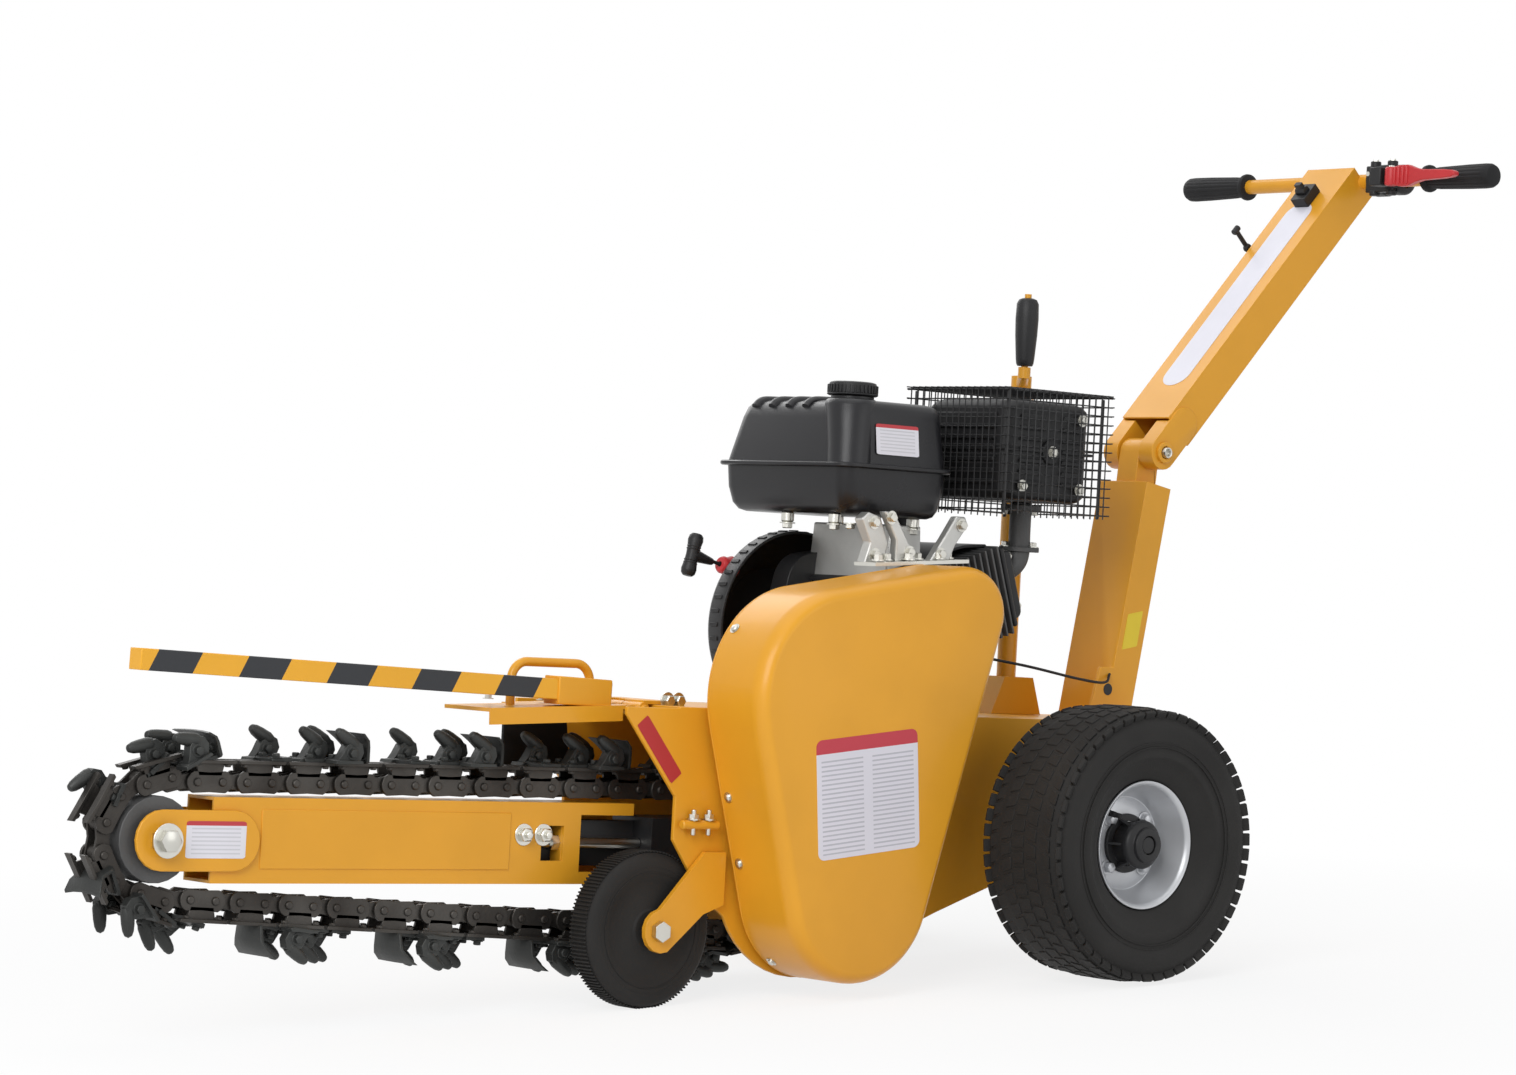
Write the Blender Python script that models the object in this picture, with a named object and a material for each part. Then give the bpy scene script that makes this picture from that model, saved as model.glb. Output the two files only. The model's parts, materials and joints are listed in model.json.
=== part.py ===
"""A walk-behind chain trencher: a digging boom in front, driven by an engine on the deck, two rear wheels,
a front wheel beside the boom, a folding handle and a hinged guard.

Sizes are in millimetres and become metres in the shape helpers. Pieces of the machine are laid out level,
from the rear axle: X to the operator, Y to the far side, Z up. REST_PITCH then tips the body, nose up,
about the rear axle, as it stands on its three wheels.
"""
import math

import bmesh
import bpy
from mathutils import Matrix, Vector

MM = 0.001
GAP = 0.4  # between pieces that touch
RUN = 0.6  # around shafts that turn

# Stance and wheels
REST_PITCH = 4.0
TYRE_RADIUS = 190.5
TYRE_WIDTH = 152
RIM_RADIUS = 84
RIM_WIDTH = 108
HUB_RADIUS = 31
HUB_OUT = 62  # hub end from the wheel's middle
WHEEL_TRACK = 600
AXLE_RADIUS = 12.5
FRONT_WHEEL_RADIUS = 103
FRONT_WHEEL_WIDTH = 50
FRONT_WHEEL_X = -664
FRONT_WHEEL_Y = -90
FRONT_BOLT_RADIUS = 8

# Frame
SIDE_OUT = 122  # half the frame's width
SIDE_PLATE = 6
DECK_TOP = 160
DECK_PLATE = 8
FRAME_FRONT = -641
FRAME_REAR = 262
GUSSET_REACH = 88  # the side plates reach forward under the guard
GUSSET_DROP = 118
HOUSING_RADIUS = 148  # round bottom of the side plates

# Digging chain and boom
CHAIN_PITCH = 37.0
CHAIN_LINKS = 66
DRIVE_TEETH = 16
NOSE_TEETH = 12
CHAIN_WIDTH = 46
LINK_HEIGHT = 32
TOOTH_HEIGHT = 52
HEAD = (-416, -50)
HEADSHAFT_RADIUS = 15
BEARING_RADIUS = 38
NOSE_RISE = 22.5
BOOM_HEIGHT = 107
BOOM_WIDTH = 60
BOOM_WALL = 4
BOOM_REAR = -636
BOOM_FRONT = -1300
TENSION_Y = -14  # the tension rod, beside the arm's tongue
TENSION_PLAY = 20  # how far the beam slides back to slacken the chain
BOOM_DROP = 55  # how far the boom swings down
BULKHEAD = (-752, -736)  # the plate inside the beam that the tension rod pulls on
NOSE_BOLT_RADIUS = 12
TENSION_ROD_RADIUS = 7

# Lift linkage
LIFT_ARM = 90
LIFT_LEAN = 62.5
CRANK_PIVOT = (70, 40)
SCREW_X = 140
SCREW_Y = 90
SCREW_RADIUS = 8
COLUMN_RADIUS = 19
COLUMN_TOP = 628
LEVER_Y = 64
LEVER_PLATE = 8
LINK_PIN_RADIUS = 6

# Belt drive and its cover
COVER_BACK = -131
COVER_FACE = -244
COVER_WALL = 2.5
COVER_AIR = 21.7  # between the belt and the cover round the driven pulley
CRANKSHAFT = (-237, 268.6)
JACKSHAFT = (-454, 190)
ENGINE_PULLEY_RADIUS = 40
DRIVEN_PULLEY_RADIUS = 115
SMALL_SPROCKET_RADIUS = 30
LARGE_SPROCKET_RADIUS = 84
SHAFT_RADIUS = 12.5
BELT_THICK = 9
ROLLER_CHAIN_THICK = 8
BELT_GAP = 1.8  # to the faceted wheels inside it
TENSION_PIVOT = (-345, 20)
IDLER = (-272, 130)

# Engine
CYLINDER_FOOT = (-240, 268)
CYLINDER_HEAD = (10, 352)
CYLINDER_DEEP = 132
CYLINDER_Y = (-84, 66)
SHROUD_RADIUS = 138
SHROUD_BACK = 126
SHROUD_FACE = 196
TANK_X = (-345, -150)
TANK_Y = (-88, 182)
TANK_Z = (430, 588)
CAP_RADIUS = 36
CAP_PLACE = (-290, -30)
RECOIL_Y = 172
EXHAUST = (30, -40)
EXHAUST_RADIUS = 17
CAGE_X = (-106, 88)
CAGE_Y = (-150, 57)
CAGE_Z = (448, 620)
CAGE_AIR = 16  # between the cage and the muffler

# Mast and handle
MAST_FOOT = (232, 150)
MAST_TOP = (295, 504)
MAST_DEEP = 50
MAST_WIDE = 98
FOLD = (300, 552)
FOLD_PIN_RADIUS = 8
BEAM_END = (698, 988)
BEAM_DEEP = 58
BEAM_WIDE = 96
THROTTLE_ALONG = 420  # from the fold pin
SWITCH_ALONG = 520
BAR_RADIUS = 11
BAR_NEAR = -308
BAR_FAR = 322
GRIP_LENGTH = 132
GRIP_RADIUS = 18

# Guard
GUARD_HINGE = (-657, 154)
GUARD_Y = (-62, 40)
HAZARD_SIDE = 27
HAZARD_FRONT = (-1432, 192)
HAZARD_REAR = (-702, 168)
HAZARD_Y = -40
LOOP_TUBE = 6
LOOP_X = (-826, -696)
LOOP_Y = 4
LOOP_TOP = 216

drive_pitch_radius = CHAIN_PITCH / (2 * math.sin(math.pi / DRIVE_TEETH))
nose_pitch_radius = CHAIN_PITCH / (2 * math.sin(math.pi / NOSE_TEETH))
wrap = math.pi * (drive_pitch_radius + nose_pitch_radius)
boom_reach = (CHAIN_LINKS * CHAIN_PITCH - wrap) / 2
NOSE = (HEAD[0] - math.sqrt(boom_reach**2 - NOSE_RISE**2), HEAD[1] + NOSE_RISE)

ORANGE = (0.79, 0.38, 0.03)
BLACK = (0.02, 0.02, 0.022)
DARK = (0.06, 0.06, 0.065)
STEEL = (0.55, 0.55, 0.56)
ALLOY = (0.62, 0.62, 0.6)
RED = (0.6, 0.03, 0.03)
HAZARD = (0.8, 0.45, 0.02)


for old in list(bpy.data.objects):
    bpy.data.objects.remove(old, do_unlink=True)


def finish(name, colour, roughness, metallic):
    """The material of one piece."""
    made = bpy.data.materials.new(name)
    made.use_nodes = True
    shader = made.node_tree.nodes["Principled BSDF"]
    shader.inputs["Base Color"].default_value = (*colour, 1)
    shader.inputs["Roughness"].default_value = roughness
    shader.inputs["Metallic"].default_value = metallic
    return made


def empty(name, location=(0, 0, 0), parent=None):
    """A joint or group that pieces hang from."""
    made = bpy.data.objects.new(name, None)
    bpy.context.scene.collection.objects.link(made)
    made.location = Vector(location) * MM
    made.parent = parent
    return made


def mesh_of(build):
    """A mesh from a bmesh, in metres, with its faces pointing out."""
    bmesh.ops.recalc_face_normals(build, faces=build.faces)
    bmesh.ops.scale(build, vec=(MM, MM, MM), verts=build.verts)
    made = bpy.data.meshes.new("shape")
    build.to_mesh(made)
    build.free()
    made.shade_smooth()
    made.set_sharp_from_angle(angle=math.radians(35))
    return made


def box(x, y, z):
    """A block between two X, two Y and two Z values."""
    build = bmesh.new()
    bmesh.ops.create_cube(build, size=1)
    for corner in build.verts:
        corner.co = Vector(
            (
                x[0] if corner.co.x < 0 else x[1],
                y[0] if corner.co.y < 0 else y[1],
                z[0] if corner.co.z < 0 else z[1],
            )
        )
    return mesh_of(build)


def plate(outline, y):
    """An (X, Z) outline extruded between two Y values."""
    build = bmesh.new()
    near = [build.verts.new((px, y[0], pz)) for px, pz in outline]
    far = [build.verts.new((px, y[1], pz)) for px, pz in outline]
    build.faces.new(near)
    build.faces.new(far)
    count = len(outline)
    for i in range(count):
        j = (i + 1) % count
        build.faces.new((near[i], near[j], far[j], far[i]))
    return mesh_of(build)


def turned(profile, centre, axis="Y", steps=20):
    """A ring of (radius, place) points turned about an axis through the centre. A radius of 0 closes it."""
    build = bmesh.new()
    rings = []
    for radius, place in profile:
        count = 1 if radius == 0 else steps
        ring = []
        for i in range(count):
            angle = 2 * math.pi * (i + 0.5) / steps
            ring.append(build.verts.new((radius * math.cos(angle), radius * math.sin(angle), place)))
        rings.append(ring)
    hollow = profile[0][0] > 0
    pairs = list(zip(rings, rings[1:]))
    if hollow:
        pairs.append((rings[-1], rings[0]))
    for first, second in pairs:
        for i in range(steps if len(first) + len(second) > 2 else 0):
            j = (i + 1) % steps
            corners = [first[i % len(first)], first[j % len(first)]]
            corners += [second[j % len(second)], second[i % len(second)]]
            build.faces.new(list(dict.fromkeys(corners)))
    quarter = math.pi / 2
    turn = {"X": Matrix.Rotation(quarter, 4, "Y"), "Y": Matrix.Rotation(-quarter, 4, "X"), "Z": Matrix()}
    bmesh.ops.transform(build, matrix=Matrix.Translation(centre) @ turn[axis], verts=build.verts)
    return mesh_of(build)


def rod(centre, radius, span, axis="Y", steps=16):
    """A round bar between two places along its axis. The centre gives the other two coordinates."""
    return turned([(0, span[0]), (radius, span[0]), (radius, span[1]), (0, span[1])], centre, axis, steps)


def bar(start, end, radius, steps=20):
    """A round bar between two points."""
    start, end = Vector(start), Vector(end)
    build = bmesh.new()
    length = (end - start).length
    size = {"radius1": radius, "radius2": radius, "depth": length}
    bmesh.ops.create_cone(build, cap_ends=True, segments=steps, **size)
    aim = (end - start).to_track_quat("Z", "Y").to_matrix().to_4x4()
    bmesh.ops.transform(build, matrix=Matrix.Translation((start + end) / 2) @ aim, verts=build.verts)
    return mesh_of(build)


def strut(start, end, deep, y):
    """A straight bar of rectangular section between two (X, Z) points, and two Y values."""
    run = Vector(end) - Vector(start)
    side = Vector((-run.y, run.x)).normalized() * deep / 2
    a, b = Vector(start), Vector(end)
    return plate([a + side, a - side, b - side, b + side], y)


def arc(centre, radius, start, end, steps):
    """Points on an arc, angles in degrees from +X towards +Z."""
    angles = [math.radians(start + (end - start) * i / steps) for i in range(steps + 1)]
    return [(centre[0] + radius * math.cos(a), centre[1] + radius * math.sin(a)) for a in angles]


def hull(circles, steps=20):
    """The outline that wraps (X, Z, radius) circles, as a belt would."""
    points = []
    for x, z, radius in circles:
        points += arc((x, z), radius, 0, 360 - 360 / steps, steps - 1)
    points = sorted(set((round(x, 4), round(z, 4)) for x, z in points))

    def half(ordered):
        chain = []
        for p in ordered:
            while len(chain) > 1 and cross(chain[-2], chain[-1], p) <= 1e-6:
                chain.pop()
            chain.append(p)
        return chain[:-1]

    return half(points) + half(points[::-1])


def cross(a, b, c):
    return (b[0] - a[0]) * (c[1] - a[1]) - (b[1] - a[1]) * (c[0] - a[0])


def helper(name, mesh, parent):
    """A hidden shape that a Boolean joins to a piece or cuts from it."""
    made = bpy.data.objects.new(name, mesh)
    bpy.context.scene.collection.objects.link(made)
    made.parent = parent
    made.hide_render = True
    made.display_type = "WIRE"
    return made


def piece(name, shapes, look, parent, origin=(0, 0, 0), cuts=()):
    """One sub-part: its shapes joined, its cuts taken out, and its own origin on its joint's axis."""
    place = Vector(origin) * MM
    made = bpy.data.objects.new(name, shapes[0])
    bpy.context.scene.collection.objects.link(made)
    made.parent = parent
    made.location = place
    for mesh in [*shapes, *cuts]:
        mesh.transform(Matrix.Translation(-place))
    for operation, meshes in (("UNION", shapes[1:]), ("DIFFERENCE", cuts)):
        for number, mesh in enumerate(meshes):
            other = helper(f"{name}.{operation.lower()}{number}", mesh, parent)
            other.location = place
            joined = made.modifiers.new(f"{operation.lower()}{number}", "BOOLEAN")
            joined.operation = operation
            joined.object = other
    colour, roughness, metallic = look
    made.data.materials.append(finish(name, colour, roughness, metallic))
    return made


PAINT = (ORANGE, 0.35, 0.0)
BLACK_PAINT = (BLACK, 0.45, 0.0)
PLASTIC = (DARK, 0.5, 0.0)
RUBBER = (BLACK, 0.85, 0.0)
ZINC = (STEEL, 0.35, 1.0)
CAST = (ALLOY, 0.5, 1.0)
RED_PLASTIC = (RED, 0.4, 0.0)

stand = empty("stand")
body = empty("machine_body", (0, 0, TYRE_RADIUS), stand)
body.rotation_euler.y = math.radians(REST_PITCH)
pitch_sin, pitch_cos = math.sin(math.radians(REST_PITCH)), math.cos(math.radians(REST_PITCH))
front_wheel_z = (FRONT_WHEEL_RADIUS - TYRE_RADIUS + FRONT_WHEEL_X * pitch_sin) / pitch_cos
near = (-SIDE_OUT, -SIDE_OUT + SIDE_PLATE)
far = (SIDE_OUT - SIDE_PLATE, SIDE_OUT)


def at(point, y=0):
    """An (X, Z) place with its Y."""
    return (point[0], y, point[1])


def polar(centre, radius, angle):
    """The (X, Z) place at a radius and an angle, in degrees from +X towards +Z."""
    turn = math.radians(angle)
    return (centre[0] + radius * math.cos(turn), centre[1] + radius * math.sin(turn))


def rear_wheels():
    """Two turf tyres on pressed rims, with bearing hubs on a fixed axle."""
    wide = TYRE_WIDTH / 2
    half = RIM_WIDTH / 2
    bead = half - 8 - GAP
    outside = [
        (RIM_RADIUS + 2, bead),
        (RIM_RADIUS + 10, wide * 0.78),
        (RIM_RADIUS + 42, wide),
        (TYRE_RADIUS - 38, wide * 0.98),
        (TYRE_RADIUS - 13, wide * 0.8),
        (TYRE_RADIUS, wide * 0.45),
    ]
    inside = [(RIM_RADIUS + 2, bead - 12), (RIM_RADIUS + 40, wide - 11), (TYRE_RADIUS - 14, wide * 0.6)]
    tyre = outside + [(radius, -place) for radius, place in reversed(outside)]
    tyre += [(radius, -place) for radius, place in inside] + inside[::-1]
    bore = AXLE_RADIUS + RUN
    rim = [
        (bore, -HUB_OUT),
        (HUB_RADIUS, -HUB_OUT),
        (HUB_RADIUS, -6),
        (58, -6),
        (66, -half * 0.6),
        (RIM_RADIUS - 12, -half * 0.8),
        (RIM_RADIUS - 6, -half),
        (RIM_RADIUS + 4, -half),
        (RIM_RADIUS + 1, -half + 8),
        (RIM_RADIUS + 1, half - 8),
        (RIM_RADIUS + 4, half),
        (RIM_RADIUS - 6, half),
        (RIM_RADIUS - 12, half * 0.8),
        (66, 6),
        (HUB_RADIUS, 6),
        (HUB_RADIUS, 40),
        (bore, 40),
    ]
    for side, sign in (("near", 1), ("far", -1)):
        centre = (0, -sign * WHEEL_TRACK / 2, TYRE_RADIUS)
        shapes = [turned([(r, sign * y) for r, y in profile], centre, steps=36) for profile in (tyre, rim)]
        piece(f"rear_tyre_{side}", shapes[:1], RUBBER, stand, centre)
        piece(f"rear_rim_{side}", shapes[1:], ZINC, stand, centre)
    reach = WHEEL_TRACK / 2 + 56
    piece("rear_axle", [rod((0, 0, 0), AXLE_RADIUS, (-reach, reach))], ZINC, body)


def front_wheel():
    """A solid rubber wheel on a bolt, carried by an arm outside it."""
    centre = (FRONT_WHEEL_X, FRONT_WHEEL_Y, front_wheel_z)
    half = FRONT_WHEEL_WIDTH / 2
    r = FRONT_WHEEL_RADIUS
    bore = FRONT_BOLT_RADIUS + RUN
    wheel = [(bore, -half), (r - 26, -half), (r - 20, -half + 4), (r - 8, -half + 2), (r, -half + 12)]
    wheel += [(radius, -place) for radius, place in reversed(wheel)]
    piece("front_wheel", [turned(wheel, centre, steps=32)], RUBBER, body, centre)
    arm_y = (-SIDE_OUT - 8.5, -SIDE_OUT - 1)
    arm = [*arc((centre[0] + 6, centre[2]), 29, 100, 290, 8)]
    arm += [(-590, front_wheel_z + 22), (-556, front_wheel_z + 34), (-556, -30), (-592, -30)]
    mount = plate([(-597, -38), (-597, -84), (-556, -96), (-556, -38)], (arm_y[0] + 2, -SIDE_OUT - GAP))
    spot = at(centre[::2])
    hole = rod(spot, FRONT_BOLT_RADIUS + GAP, (-300, 0))
    piece("front_wheel_arm", [plate(arm[::-1], arm_y), mount], PAINT, body, cuts=[hole])
    inner_side = FRONT_WHEEL_Y + half
    bolt = [rod(spot, FRONT_BOLT_RADIUS, (arm_y[0] - 9, inner_side + 12), steps=16)]
    bolt.append(rod(spot, 14, (arm_y[0] - 10, arm_y[0] - GAP), steps=6))
    bolt.append(rod(spot, 14, (inner_side + 1, inner_side + 13), steps=6))
    piece("front_wheel_bolt", bolt, ZINC, body)


def chassis():
    """Two side plates with round bottoms, joined by the deck, and the mast that stands behind it."""
    nose_top = FRAME_FRONT - GUSSET_REACH
    side = [(nose_top, DECK_TOP - 2), (nose_top, DECK_TOP - 12), (FRAME_FRONT, DECK_TOP - GUSSET_DROP)]
    side += [(FRAME_FRONT, -15), (-585, -92)]
    side += arc(HEAD, HOUSING_RADIUS, 206, 292, 10)
    side += [(-170, -112), (60, -30), (FRAME_REAR, 60), (FRAME_REAR, DECK_TOP - 2)]
    deck = box((FRAME_FRONT, FRAME_REAR), (-SIDE_OUT, SIDE_OUT), (DECK_TOP - DECK_PLATE, DECK_TOP))
    tail = box((FRAME_REAR - 8, FRAME_REAR), (1 - SIDE_OUT, SIDE_OUT - 1), (62, DECK_TOP - 2))
    cuts = [rod(at(HEAD), HEADSHAFT_RADIUS + RUN, (-200, 200))]
    cuts.append(rod((0, 0, 0), AXLE_RADIUS + GAP, (-200, 200)))
    cuts.append(rod((SCREW_X, SCREW_Y, 0), SCREW_RADIUS + 2, (100, 200), "Z"))
    post = [rod(at(CRANK_PIVOT), 8, (LEVER_Y - 6, SIDE_OUT - 2))]
    post.append(rod(at(CRANK_PIVOT), 14, (LEVER_Y + LEVER_PLATE + RUN, SIDE_OUT - 2)))
    piece("frame", [plate(side, near), plate(side, far), deck, tail, *post], PAINT, body, cuts=cuts)
    for name, y in (("near", (near[1] + GAP, near[1] + 22)), ("far", (far[0] - 22, far[0] - GAP))):
        bore = HEADSHAFT_RADIUS + RUN
        profile = [(bore, y[0]), (BEARING_RADIUS, y[0]), (BEARING_RADIUS, y[1]), (bore, y[1])]
        piece(f"headshaft_bearing_{name}", [turned(profile, at(HEAD))], CAST, body)


def boom():
    """The swinging boom: arm on the headshaft, boxed beam that slides on it, nose, roller and chain."""
    fork = hull([(*HEAD, 44), (HEAD[0] - 120, -40, 38)])
    lever_pin = polar(HEAD, LIFT_ARM, LIFT_LEAN)
    lever_y = (LEVER_Y, LEVER_Y + LEVER_PLATE)
    shapes = [
        box((BOOM_REAR + TENSION_PLAY + 2, -516), (-43, 43), (-64, 8)),
        plate(fork, (-43, -31)),
        plate(fork, (31, 43)),
        box((-800, -600), (-2, 24), (-58, 2)),
        rod(at(HEAD), 27, (40, LEVER_Y + 1)),
        plate(hull([(*HEAD, 27), (*lever_pin, 14)]), lever_y),
        rod(at(lever_pin), LINK_PIN_RADIUS, (lever_y[1] - 1, lever_y[1] + 12), steps=16),
    ]
    cuts = [rod(at(HEAD), HEADSHAFT_RADIUS + RUN, (-90, 90))]
    piece("boom_arm", shapes, BLACK_PAINT, body, at(HEAD), cuts)

    half = BOOM_WIDTH / 2
    low = HEAD[1] + 23 - BOOM_HEIGHT / 2
    high = low + BOOM_HEIGHT
    wall = BOOM_WALL
    inside = (low + wall, high - wall)
    shell = box((BOOM_FRONT, BOOM_REAR), (-half, half), (low, high))
    level = low + BOOM_HEIGHT / 2
    cuts = [
        box((BOOM_FRONT - 5, BULKHEAD[0]), (wall - half, half - wall), inside),
        box((BULKHEAD[1], BOOM_REAR + 5), (wall - half, half - wall), inside),
        box((-724, BOOM_REAR + 6), (-half - 5, 5 - half), (inside[0] + 12, inside[1] - 12)),
        box((BULKHEAD[0] - 5, BULKHEAD[1] + 5), (-3, half - wall - 0.5), (-60, 4)),
        rod((0, TENSION_Y, level), TENSION_ROD_RADIUS + RUN, (-800, -700), "X", 16),
        box((-788, BULKHEAD[0] + 0.5), (-half - 5, 5 - half), (-50, -4)),
    ]
    piece("boom_beam", [shell], PAINT, body, at(HEAD), cuts)
    spot = (0, TENSION_Y, level)
    tension = [rod(spot, TENSION_ROD_RADIUS, (BULKHEAD[0] - 32, BOOM_REAR + TENSION_PLAY + 1), "X", 16)]
    tension.append(rod(spot, TENSION_ROD_RADIUS + 4, (BULKHEAD[0] - 12, BULKHEAD[0] - GAP), "X", 6))
    piece("tension_rod", tension, ZINC, body, at(HEAD))

    nose = hull([(*NOSE, 38), (BOOM_FRONT + 30, NOSE[1], 38)])
    for name, y in (("near", (-half - 6, -half - GAP)), ("far", (half + GAP, half + 6))):
        cut = rod(at(NOSE), NOSE_BOLT_RADIUS + GAP, (-100, 100))
        piece(f"nose_plate_{name}", [plate(nose, y)], PAINT, body, at(HEAD), [cut])
    pin = [rod(at(NOSE), NOSE_BOLT_RADIUS, (-half - 8, half + 18))]
    pin.append(rod(at(NOSE), NOSE_BOLT_RADIUS + 6, (-half - 18, -half - 6 - GAP), steps=6))
    pin.append(rod(at(NOSE), NOSE_BOLT_RADIUS + 6, (half + 6 + GAP, half + 18), steps=6))
    piece("nose_bolt", pin, ZINC, body, at(HEAD))
    r = nose_pitch_radius - LINK_HEIGHT / 2 - 1.5
    bore = NOSE_BOLT_RADIUS + RUN
    roller = turned([(bore, -22), (r, -22), (r, 22), (bore, 22)], at(NOSE), steps=24)
    piece("nose_roller", [roller], CAST, body, at(NOSE))
    digging_chain()


def on_chain(distance):
    """The place on the chain's pitch line, and the angle of its travel, for a distance along the loop."""
    lean = math.degrees(math.atan2(NOSE_RISE, -(NOSE[0] - HEAD[0])))
    slope = math.degrees(math.asin((drive_pitch_radius - nose_pitch_radius) / boom_reach))
    top, bottom = 90 - lean + slope, 270 - lean - slope
    span = math.sqrt(boom_reach**2 - (drive_pitch_radius - nose_pitch_radius) ** 2)
    nose_arc = math.radians(bottom - top) * nose_pitch_radius
    drive_arc = math.radians(360 - (bottom - top)) * drive_pitch_radius
    distance %= 2 * span + nose_arc + drive_arc
    if distance < span:
        start = polar(HEAD, drive_pitch_radius, top)
        return polar(start, distance, top + 90), top
    distance -= span
    if distance < nose_arc:
        angle = top + math.degrees(distance / nose_pitch_radius)
        return polar(NOSE, nose_pitch_radius, angle), angle
    distance -= nose_arc
    if distance < span:
        start = polar(NOSE, nose_pitch_radius, bottom)
        return polar(start, distance, bottom + 90), bottom
    angle = bottom + math.degrees((distance - span) / drive_pitch_radius)
    return polar(HEAD, drive_pitch_radius, angle), angle


def digging_chain():
    """One closed band in place of the links, with claw teeth and cup plates standing on it."""
    half = CHAIN_WIDTH / 2
    tall = LINK_HEIGHT / 2
    outer = hull([(*HEAD, drive_pitch_radius + tall), (*NOSE, nose_pitch_radius + tall)], 32)
    inner = hull([(*HEAD, drive_pitch_radius - tall), (*NOSE, nose_pitch_radius - tall)], 32)
    build = bmesh.new()
    for number in range(CHAIN_LINKS // 6):
        start = number * 6 * CHAIN_PITCH + CHAIN_PITCH
        for step, low, high in ((0, -50, -8), (1.5, -20, 20), (3, 8, 50), (4.4, -46, 46)):
            place, angle = on_chain(start + step * CHAIN_PITCH)
            cup = step > 4
            foot, tip, rise = (22, 18, 30) if cup else (16, 8, TOOTH_HEIGHT)
            outline = [(-foot, tall - 5), (foot, tall - 5), (foot, tall + 8)]
            outline += [(tip, tall + rise), (2, tall + rise)]
            if cup:
                outline[-1] = (-tip, tall + rise)
            corners = []
            for along, out in outline:
                turn = math.radians(angle)
                px = place[0] + out * math.cos(turn) - along * math.sin(turn)
                pz = place[1] + out * math.sin(turn) + along * math.cos(turn)
                corners.append((px, pz))
            rings = [[build.verts.new((px, y, pz)) for px, pz in corners] for y in (low, high)]
            build.faces.new(rings[0])
            build.faces.new(rings[1])
            for i in range(len(corners)):
                j = (i + 1) % len(corners)
                build.faces.new((rings[0][i], rings[0][j], rings[1][j], rings[1][i]))
    shapes = [plate(outer, (-half, half)), mesh_of(build)]
    piece("digging_chain", shapes, BLACK_PAINT, body, at(HEAD), [plate(inner, (-half - 5, half + 5))])


def headshaft():
    """The shaft that the boom swings on and the chain's sprocket turns with."""
    sprocket = rod(at(HEAD), LARGE_SPROCKET_RADIUS, (-196, -188), steps=24)
    shaft = rod(at(HEAD), HEADSHAFT_RADIUS, (-206, SIDE_OUT + 10))
    piece("headshaft", [shaft, sprocket], ZINC, body, at(HEAD))
    r = drive_pitch_radius - LINK_HEIGHT / 2 - 1.5
    bore = HEADSHAFT_RADIUS + GAP
    disc = [(bore, -29), (30, -29), (30, -10), (r, -10), (r, 10), (30, 10), (30, 29), (bore, 29)]
    piece("drive_sprocket", [turned(disc, at(HEAD), steps=24)], CAST, body, at(HEAD))


def belt_drive():
    """Crank pulley, V-belt, jackshaft and roller chain, inside the cover."""
    bore = SHAFT_RADIUS + GAP
    pulleys = (
        ("engine_pulley", CRANKSHAFT, ENGINE_PULLEY_RADIUS),
        ("driven_pulley", JACKSHAFT, DRIVEN_PULLEY_RADIUS),
    )
    for name, centre, r in pulleys:
        wheel = turned([(bore, -166), (r, -166), (r, -139), (bore, -139)], at(centre), steps=24)
        stub = [rod(at(centre), SHAFT_RADIUS + 2, (-166, -86))] if name == "engine_pulley" else []
        piece(name, [wheel, *stub], CAST, body, at(centre))
    sprocket = rod(at(JACKSHAFT), SMALL_SPROCKET_RADIUS, (-196, -188))
    piece("jackshaft", [rod(at(JACKSHAFT), SHAFT_RADIUS, (-206, -50)), sprocket], ZINC, body, at(JACKSHAFT))
    belt_run = ((*CRANKSHAFT, ENGINE_PULLEY_RADIUS), (*JACKSHAFT, DRIVEN_PULLEY_RADIUS))
    chain_run = ((*JACKSHAFT, SMALL_SPROCKET_RADIUS), (*HEAD, LARGE_SPROCKET_RADIUS))
    loops = (
        ("drive_belt", belt_run, BELT_THICK, (-164, -141), RUBBER),
        ("roller_chain", chain_run, ROLLER_CHAIN_THICK, (-199, -185), ZINC),
    )
    for name, run, thick, y, look in loops:
        outer = hull([(px, pz, r + BELT_GAP + thick) for px, pz, r in run], 24)
        inner = hull([(px, pz, r + BELT_GAP) for px, pz, r in run], 24)
        piece(name, [plate(outer, y)], look, body, cuts=[plate(inner, (y[0] - 5, y[1] + 5))])
    stand_block = [(-486, DECK_TOP + GAP), (-422, DECK_TOP + GAP), (-436, 214), (-472, 214)]
    cut = rod(at(JACKSHAFT), SHAFT_RADIUS + RUN, (-150, 0))
    piece("jackshaft_bearing", [plate(stand_block, (-104, -58))], CAST, body, cuts=[cut])
    pivot, idler = TENSION_PIVOT, IDLER
    arm = [plate(hull([(*pivot, 15), (*idler, 12)]), (-176, -168)), rod(at(pivot), 14, (-170, -136))]
    arm.append(rod(at(idler), 8, (-170, -138), steps=16))
    piece("tension_arm", arm, ZINC, body, at(pivot), [rod(at(pivot), 8, (-180, -130), steps=16)])
    wheel = turned([(8 + RUN, -165), (22, -165), (22, -140), (8 + RUN, -140)], at(idler))
    piece("idler_pulley", [wheel], PLASTIC, body, at(idler))


def cover_outline(inset=0):
    """The cover's outline in (X, Z): two rounded upper corners, straight flanks and a round foot."""
    round_belt = DRIVEN_PULLEY_RADIUS + BELT_GAP + BELT_THICK + COVER_AIR + COVER_WALL
    left = (JACKSHAFT[0], JACKSHAFT[1] - 12, round_belt)
    right, foot = (-236, 302, 64), (-409, -73, 124)
    return hull([(x, z, r - inset) for x, z, r in (left, right, foot)], 32)


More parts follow.
